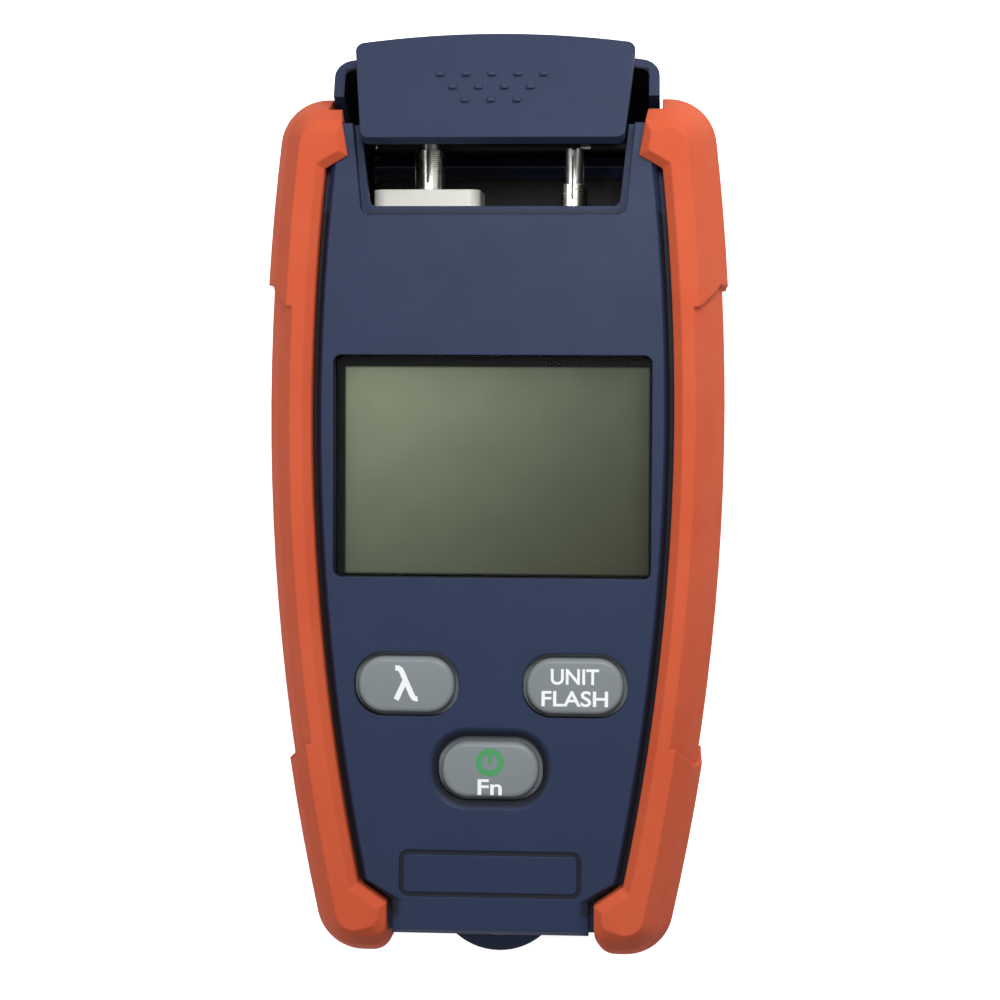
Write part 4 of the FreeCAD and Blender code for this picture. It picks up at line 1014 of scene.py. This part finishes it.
@dataclass
class HousingScrews:
    """Pan-head screws with a cross recess, sunk in the rear."""

    nodes: tuple[str, ...]
    head: float = 2.4 * MM
    head_high: float = 1.5 * MM
    shank: float = 1.2 * MM
    arm: float = 1.35 * MM
    arm_half: float = 0.34 * MM
    thread: float = 0.8 * MM
    around: int = 24
    # shares of the head's radius and height, from its rim to its crown
    dome: tuple[Point, ...] = ((1.0, 1.0), (1.0, 0.45), (0.93, 0.18), (0.76, 0.03))
    # shares of the shank's radius and of a turn, over one ridge of the thread
    ridge: tuple[Point, ...] = ((0.8, 0.3), (0.98, 0.6), (0.8, 0.9))
    tip: float = 0.5
    recess_share: float = 0.72
    recess_deep: float = 0.55

    def cross(self, scale: float) -> list[Point]:
        """The recess: a plus sign with its corners and the middles between them.

        Args:
            scale: Its share of the full size.

        Returns:
            The points, once round.
        """
        long, half = self.arm * scale, self.arm_half * scale
        quarter = [(long, 0.0), (long, half), (half * 1.6, half), (half, half),
                   (half, half * 1.6), (half, long)]
        points = []
        for turn in range(4):
            cosine, sine = math.cos(turn * math.pi / 2), math.sin(turn * math.pi / 2)
            points += [(x * cosine - y * sine, x * sine + y * cosine) for x, y in quarter]
        return points

    def pattern(self, long: float) -> bpy.types.Mesh:
        """One screw, its head at the origin facing down.

        Args:
            long: Length of its threaded shank.

        Returns:
            The mesh.
        """
        shape = bmesh.new()
        count, high = self.around, self.head_high
        rings = [lift(circle(self.shank, count), high)]
        rings += [lift(circle(self.head * wide, count), high * deep)
                  for wide, deep in self.dome]
        rings += [lift(self.cross(1.0), 0.0),
                  lift(self.cross(self.recess_share), high * self.recess_deep)]
        skin(shape, rings)
        core = self.shank * self.ridge[0][0]
        shank = [lift(circle(core, count), high)]
        for turn in range(int(long / self.thread)):
            foot = high + self.thread * turn
            shank += [lift(circle(self.shank * wide, count), foot + self.thread * rise)
                      for wide, rise in self.ridge]
        shank.append(lift(circle(self.shank * self.tip, count), high + long))
        skin(shape, shank)
        return to_mesh(shape, "screw_pattern", 30.0)

    def build(self, material: bpy.types.Material) -> bpy.types.Object:
        """Put one screw in place of each plain one of the frame.

        Args:
            material: The screws' finish.

        Returns:
            The piece.
        """
        spots, long = [], 0.0
        for node in self.nodes:
            low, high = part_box(node)
            spots.append(Vector((*centre_of(low, high), low[2])))
            long = high[2] - low[2] - self.head_high
        piece = Scatter("housing_screws", material).lay(
            self.pattern(long), spots, Vector((0, 0, 0)), random_turn=math.pi, seed=11)
        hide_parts(*self.nodes)
        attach(piece, Body.HOUSING.value)
        return piece


@dataclass
class DoorRibs:
    """Ribs in the thumb recess of the battery door."""

    count: int = 4
    pitch: float = 1.1 * MM
    half_long: float = 3.6 * MM
    half_wide: float = 0.22 * MM
    high: float = 0.45 * MM
    recess_deep: float = 0.8 * MM
    recess_in: float = 4.7 * MM
    sunk: float = 0.1 * MM
    slope: float = 0.12 * MM
    shoulder: float = 0.6

    def build(self, material: bpy.types.Material) -> bpy.types.Object:
        """Lay the ribs on the floor of the recess.

        Args:
            material: The door's finish.

        Returns:
            The piece.
        """
        low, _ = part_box("battery_door")
        shape = bmesh.new()
        base = rounded(self.half_long, self.half_wide, 0.2 * MM, 3)
        crown = rounded(self.half_long - self.slope, self.half_wide / 2, 0.1 * MM, 3)
        skin(shape, [lift(base, self.sunk), lift(base, -self.high * self.shoulder),
                     lift(crown, -self.high)])
        floor = low[2] + self.recess_deep
        middle = low[1] + self.recess_in
        spots = [Vector((0.0, middle + (index - (self.count - 1) / 2) * self.pitch, floor))
                 for index in range(self.count)]
        piece = Scatter("door_ribs", material).lay(to_mesh(shape, "rib"), spots,
                                                   Vector((0, 0, 0)))
        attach(piece, Body.DOOR.value)
        return piece


@dataclass
class KeyCap:
    """A soft key with a rounded rim, its flange and its stem."""

    name: str
    body: Body
    flange: float = 1.0 * MM
    slim: float = 0.22 * MM
    corner: float = 4.3 * MM
    rim: float = 0.85 * MM
    flange_thick: float = 1.0 * MM
    stem: float = 2.0 * MM
    tall: float = 3.2 * MM
    steps: int = 6

    def build(self, material: bpy.types.Material) -> tuple[bpy.types.Object, Vector]:
        """Build the key in place of the frame's plain one.

        Args:
            material: The keys' finish.

        Returns:
            The key and the middle of its top.
        """
        low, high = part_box(self.name)
        middle = Vector((*centre_of(low, high), 0))
        half_wide = (high[0] - low[0]) / 2 - self.flange
        half_high = (high[1] - low[1]) / 2 - self.flange
        top = high[2]
        body_low = top - self.tall
        collar = rounded(half_wide + self.flange, half_high + self.flange, self.corner)
        half_wide, half_high = half_wide - self.slim, half_high - self.slim
        side = rounded(half_wide, half_high, self.corner)
        rings = [lift(collar, body_low - self.flange_thick), lift(collar, body_low),
                 lift(side, body_low), lift(side, top - self.rim)]
        for step in range(1, self.steps + 1):
            angle = math.pi / 2 * step / self.steps
            inset = self.rim * (1 - math.cos(angle))
            rings.append(lift(rounded(half_wide - inset, half_high - inset,
                                      self.corner - inset),
                              top - self.rim + self.rim * math.sin(angle)))
        shape = bmesh.new()
        skin(shape, [[point + middle for point in ring] for ring in rings])
        foot = circle(self.stem)
        skin(shape, [[point + middle for point in lift(foot, level)]
                     for level in (low[2], body_low - self.flange_thick)])
        piece = show(f"{self.name}_soft", to_mesh(shape, self.name, 50.0), material)
        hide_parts(self.name)
        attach(piece, self.body.value)
        return piece, Vector((middle.x, middle.y, top))


@dataclass
class Legend:
    """Printed marks on top of one key."""

    name: str
    body: Body
    top: Vector
    thick: float = 0.03 * MM
    sunk: float = 0.01 * MM
    stroke: float = 0.88
    ring: tuple[float, float] = (2.35 * MM, 1.3 * MM)
    around: int = 48

    def _finish(self, suffix: str, mesh: bpy.types.Mesh, ink: bpy.types.Material
                ) -> bpy.types.Object:
        """Show the marks and let them ride on the key.

        Args:
            suffix: What the piece's name ends in.
            mesh: The marks.
            ink: Their ink.

        Returns:
            The piece.
        """
        piece = show(f"{self.name}_{suffix}", mesh, ink)
        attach(piece, self.body.value)
        return piece

    def words(self, lines: list[tuple[str, float, float, float]],
              ink: bpy.types.Material) -> bpy.types.Object:
        """Print words.

        Args:
            lines: Each word, its middle above the key's middle, its height and width.
            ink: The ink.

        Returns:
            The piece.
        """
        shape = bmesh.new()
        for word, rise, high, wide in lines:
            curve = bpy.data.curves.new(word, "FONT")
            curve.body = word
            curve.offset = 0.018
            curve.resolution_u = 6
            holder = bpy.data.objects.new(word, curve)
            mesh = bpy.data.meshes.new_from_object(holder)
            bpy.data.objects.remove(holder)
            flat = bmesh.new()
            flat.from_mesh(mesh)
            corners = [vertex.co for vertex in flat.verts]
            left, right = min(c.x for c in corners), max(c.x for c in corners)
            foot, head = min(c.y for c in corners), max(c.y for c in corners)
            place = Matrix.Diagonal((wide / (right - left), high / (head - foot), 1, 1))
            centre = Vector(((left + right) / 2, (foot + head) / 2, 0))
            flat.transform(Matrix.Translation(Vector((self.top.x, self.top.y + rise,
                                                      self.top.z)))
                           @ place @ Matrix.Translation(-centre))
            placed = bpy.data.meshes.new(word)
            flat.to_mesh(placed)
            flat.free()
            shape.from_mesh(placed)
        self._thicken(shape)
        return self._finish("words", to_mesh(shape, "words", 20.0), ink)

    def _thicken(self, shape: bmesh.types.BMesh) -> None:
        """Give flat faces the ink's thickness upwards.

        Args:
            shape: The faces.
        """
        bmesh.ops.remove_doubles(shape, verts=shape.verts, dist=1e-7)
        bmesh.ops.recalc_face_normals(shape, faces=shape.faces)
        grown = bmesh.ops.extrude_face_region(shape, geom=list(shape.faces))
        for item in grown["geom"]:
            if isinstance(item, bmesh.types.BMVert):
                item.co.z += self.thick

    def lambda_mark(self, ink: bpy.types.Material) -> bpy.types.Object:
        """Print the wavelength sign.

        Args:
            ink: The ink.

        Returns:
            The piece.
        """
        shape = bmesh.new()
        long_leg = [(-1.75, 2.7), (-1.25, 2.72), (-0.85, 2.45), (-0.55, 1.8),
                    (0.95, -1.6), (1.25, -2.15), (1.65, -2.32), (1.95, -2.26)]
        short_leg = [(-0.1, 0.8), (-1.6, -2.5)]
        for path, thick in ((long_leg, self.thick), (short_leg, self.thick * 0.8)):
            outline = [(self.top.x + x * MM, self.top.y + y * MM)
                       for x, y in ribbon(path, self.stroke)]
            slab(shape, outline, self.top.z - self.sunk, self.top.z + thick)
        return self._finish("sign", to_mesh(shape, "sign", 20.0), ink)

    def power_mark(self, ink: bpy.types.Material, rise: float) -> bpy.types.Object:
        """Print the power sign: a thick ring with a bar from its top.

        Args:
            ink: The ink.
            rise: The ring's middle above the key's middle.

        Returns:
            The piece.
        """
        shape = bmesh.new()
        centre = Vector((self.top.x, self.top.y + rise, 0))
        outer, inner = (circle(radius, self.around) for radius in self.ring)
        low, high = self.top.z - self.sunk, self.top.z + self.thick
        rings = [[point + centre for point in lift(ring, level)] for ring, level in
                 ((outer, low), (outer, high), (inner, high), (inner, low))]
        made = [[shape.verts.new(point) for point in ring] for ring in rings]
        for first, second in zip(made, made[1:] + made[:1]):
            for index in range(self.around):
                after = (index + 1) % self.around
                shape.faces.new((first[index], first[after], second[after], second[index]))
        bar = [(centre.x + x * MM, centre.y + y * MM)
               for x, y in ((-0.36, -0.35), (0.36, -0.35), (0.36, 1.5), (-0.36, 1.5))]
        slab(shape, bar, low, high + 0.004 * MM)
        return self._finish("sign", to_mesh(shape, "sign", 20.0), ink)


@dataclass
class Keypad:
    """The three keys with their legends."""

    letters: float = 2.6 * MM
    unit_rise: float = 1.6 * MM
    unit_wide: float = 7.9 * MM
    flash_rise: float = -2.0 * MM
    flash_wide: float = 10.9 * MM
    function_rise: float = -2.85 * MM
    function_wide: float = 4.0 * MM
    sign_rise: float = 1.25 * MM

    def build(self, rubber: bpy.types.Material, white: bpy.types.Material,
              green: bpy.types.Material) -> list[bpy.types.Object]:
        """Build the keys.

        Args:
            rubber: The keys' finish.
            white: White ink.
            green: Green ink.

        Returns:
            Keys and legends.
        """
        pieces = []
        tops = {}
        for name, body in (("key_wavelength", Body.WAVELENGTH), ("key_unit", Body.UNIT),
                           ("key_power", Body.POWER)):
            piece, tops[name] = KeyCap(name, body).build(rubber)
            pieces.append(piece)
        pieces.append(Legend("wavelength_legend", Body.WAVELENGTH,
                             tops["key_wavelength"]).lambda_mark(white))
        pieces.append(Legend("unit_legend", Body.UNIT, tops["key_unit"]).words(
            [("UNIT", self.unit_rise, self.letters, self.unit_wide),
             ("FLASH", self.flash_rise, self.letters, self.flash_wide)], white))
        power = Legend("power_legend", Body.POWER, tops["key_power"])
        pieces.append(power.words(
            [("Fn", self.function_rise, self.letters, self.function_wide)], white))
        pieces.append(power.power_mark(green, self.sign_rise))
        return pieces


# ---------------------------------------------------------------- studio

@dataclass
class Studio:
    """A pale floor, soft lamps and a white backdrop."""

    floor_half: float = 2.0
    floor_paint: float = 0.86
    floor_glow: float = 0.85
    room: float = 0.24

    def floor(self) -> bpy.types.Object:
        """A wide pale floor that keeps the meter's shadow.

        Returns:
            The floor.
        """
        sheet = Shading("studio_floor")
        paint = (self.floor_paint, self.floor_paint, self.floor_paint, 1)
        lit = sheet.node("ShaderNodeBsdfDiffuse", inputs={"Color": paint})
        glow = sheet.node("ShaderNodeEmission", inputs={"Color": (1, 1, 1, 1)})
        seen = self.seen(sheet)
        sheet.tree.links.new((seen * self.floor_glow).socket, glow.inputs["Strength"])
        both = sheet.node("ShaderNodeAddShader", inputs={
            0: lit.outputs[0], 1: glow.outputs[0]})
        sheet.tree.links.new(both.outputs[0], sheet.output.inputs[0])
        half = self.floor_half
        mesh = bpy.data.meshes.new("floor")
        mesh.from_pydata([(-half, -half, 0), (half, -half, 0), (half, half, 0),
                          (-half, half, 0)], [], [(0, 1, 2, 3)])
        piece = show("floor", mesh, sheet.material)
        return piece

    @staticmethod
    def seen(sheet: NodeSheet) -> Signal:
        """1 for rays from the camera, or mirrored or let through on the way.

        Args:
            sheet: The nodes it is added to.

        Returns:
            The mask.
        """
        path = sheet.node("ShaderNodeLightPath")
        camera, glossy, through = [
            Signal(sheet, path.outputs[name])
            for name in ("Is Camera Ray", "Is Glossy Ray", "Is Transmission Ray")]
        return camera.larger(glossy).larger(through)

    def world(self) -> None:
        """White all round, weaker as a light than as a backdrop."""
        world = bpy.data.worlds.new("studio_world")
        bpy.context.scene.world = world
        world.use_nodes = True
        sheet = NodeSheet(world.node_tree)
        world.node_tree.nodes.clear()
        seen = self.seen(sheet)
        background = sheet.node("ShaderNodeBackground", inputs={
            "Color": (1, 1, 1, 1), "Strength": seen * (1.0 - self.room) + self.room})
        sheet.node("ShaderNodeOutputWorld", inputs={0: background.outputs[0]})

    def lamp(self, name: str, place: Vector, size: float, watts: float) -> None:
        """Add a soft square lamp that faces the meter.

        Args:
            name: The lamp's name.
            place: Where it hangs.
            size: Its side.
            watts: Its power.
        """
        light = bpy.data.lights.new(name, "AREA")
        light.shape = "SQUARE"
        light.size = size
        light.energy = watts
        holder = bpy.data.objects.new(name, light)
        holder.location = place
        holder.rotation_euler = (-place).to_track_quat("-Z", "Y").to_euler()
        bpy.context.scene.collection.objects.link(holder)

    def build(self) -> None:
        """Set up floor, backdrop and lamps."""
        self.floor()
        self.world()
        self.lamp("key_lamp", Vector((0.17, 0.23, 0.22)), size=0.16, watts=0.62)
        self.lamp("front_lamp", Vector((0.03, 0.15, 0.42)), size=0.1, watts=0.85)
        self.lamp("side_lamp", Vector((-0.36, 0.05, 0.36)), size=0.3, watts=0.55)
        bpy.context.scene.view_settings.view_transform = "Standard"


@dataclass
class Viewpoint:
    """A camera above the meter's face, a little to its right."""

    place: Vector
    yaw: float
    pitch: float
    roll: float
    lens: float
    sensor: float = 36.0

    def build(self) -> bpy.types.Object:
        """Create the scene's camera.

        Returns:
            The camera.
        """
        data = bpy.data.cameras.new("camera")
        data.lens = self.lens
        data.sensor_width = self.sensor
        camera = bpy.data.objects.new("camera", data)
        bpy.context.scene.collection.objects.link(camera)
        camera.matrix_world = (Matrix.Translation(self.place)
                               @ Matrix.Rotation(self.yaw, 4, "Y")
                               @ Matrix.Rotation(self.pitch, 4, "X")
                               @ Matrix.Rotation(self.roll, 4, "Z"))
        bpy.context.scene.camera = camera
        return camera


# ---------------------------------------------------------------- whole meter

NAVY = tint(32, 44, 72)


def finishes(hinge: tuple[float, float], lean: float) -> tuple[
        dict[str, bpy.types.Material], dict[str, bpy.types.Material]]:
    """Make every finish.

    Args:
        hinge: The cap's axis, along and up.
        lean: How far the cap stands open.

    Returns:
        Materials by slot, and those of single nodes.
    """
    glass_low, glass_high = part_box("lcd_panel")
    bay_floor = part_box("detector_flange")[0][1]
    half = ((glass_high[0] - glass_low[0]) / 2, (glass_high[1] - glass_low[1]) / 2)
    cell_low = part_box("battery_cell_left")[0][1]
    by_slot = {
        "housing_plastic": HousingMoulding("housing_plastic", NAVY, gloss=0.22,
                                            bay_floor=bay_floor),
        "grip_rubber": Rubber("grip_rubber", tint(204, 92, 60), tint(194, 74, 46)),
        "flange_plastic": Moulding("flange_plastic", tint(248, 247, 238), 0.34),
        "port_metal": TurnedMetal("port_metal", tint(226, 224, 214)),
        "steel": BrushedSteel("steel", tint(222, 222, 220)),
        "window_clear": ClearWindow("window_clear"),
        "display_glass": LiquidCrystal(
            "display_glass", centre_of(glass_low, glass_high), half,
            # corner colours: a painted reflection of the lamps
            upper_left=tint(140, 150, 126), upper_right=tint(88, 94, 80),
            lower_left=tint(98, 104, 87), lower_right=tint(66, 69, 55),
            # wide left and top margins: a painted shadow of the window's rim
            frame_and_rim_shadow=tint(12, 14, 15), frame_and_shadow_margins=(1.5 * MM, 0.35 * MM, 0.35 * MM, 1.8 * MM)),
        "light_guide": Moulding("light_guide", tint(228, 228, 224), 0.3),
        "strip_rubber": Moulding("strip_rubber", tint(160, 124, 128), 0.6),
        "key_plastic": Moulding("key_plastic", tint(124, 131, 135), 0.42, gloss=0.35,
                                depth=0.006 * MM, edge=0.2 * MM, rubbed=0.1),
        "board": SolderMask("board"),
        "switch_plastic": Moulding("switch_plastic", tint(34, 34, 36), 0.5),
        "cell_sleeve": CellSleeve("cell_sleeve", tint(46, 50, 56), tint(196, 158, 84),
                                  joint=cell_low + 34 * MM),
    }
    made = {slot: finish.make() for slot, finish in by_slot.items()}
    special = {
        "lcd_frame": Moulding("display_frame", tint(30, 32, 34), gloss=0.2).make(),
        "dust_cap": CapMoulding("cap_plastic", tint(41, 50, 75), gloss=0.22,
                                hinge=hinge, lean=lean).make(),
    }
    return made, special


def main() -> None:
    """Build the meter's looks, piece by piece."""
    logging.basicConfig(level=logging.INFO, format="%(message)s")
    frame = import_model()
    joint = next(j for j in frame["record"]["behaviour"]["joints"]
                 if j["name"] == "cap_hinge")
    hinge = (joint["pos_m"][1], joint["pos_m"][2])
    lean = math.radians(joint["range_deg"][0])
    by_slot, special = finishes(hinge, lean)
    CarriedNodes(frame["nodes"], frame["record"]["subparts"]).dress(by_slot, special)
    LOG.info("dressed %d carried nodes", len(frame["nodes"]))
    white = Ink("white_ink", tint(240, 242, 242)).make()
    green = Ink("green_ink", tint(64, 141, 86)).make()
    nubs = ThumbNubs(hinge, lean, front=28.0 * MM, first_row=-1.7 * MM).build(
        special["dust_cap"])
    LOG.info("cap nubs: %d faces", len(nubs.data.polygons))
    screws = HousingScrews(tuple(f"housing_screw_{n}" for n in range(1, 5))).build(
        by_slot["steel"])
    LOG.info("housing screws: %d faces", len(screws.data.polygons))
    ribs = DoorRibs().build(by_slot["housing_plastic"])
    LOG.info("door ribs: %d faces", len(ribs.data.polygons))
    for piece in Keypad().build(by_slot["key_plastic"], white, green):
        LOG.info("%s: %d faces", piece.name, len(piece.data.polygons))
    Studio().build()
    Viewpoint(Vector((0.02974, 0.018145, 0.43498)), yaw=0.07059, pitch=-0.04155,
              roll=0.00477, lens=88.295).build()


if __name__ == "__main__":
    main()
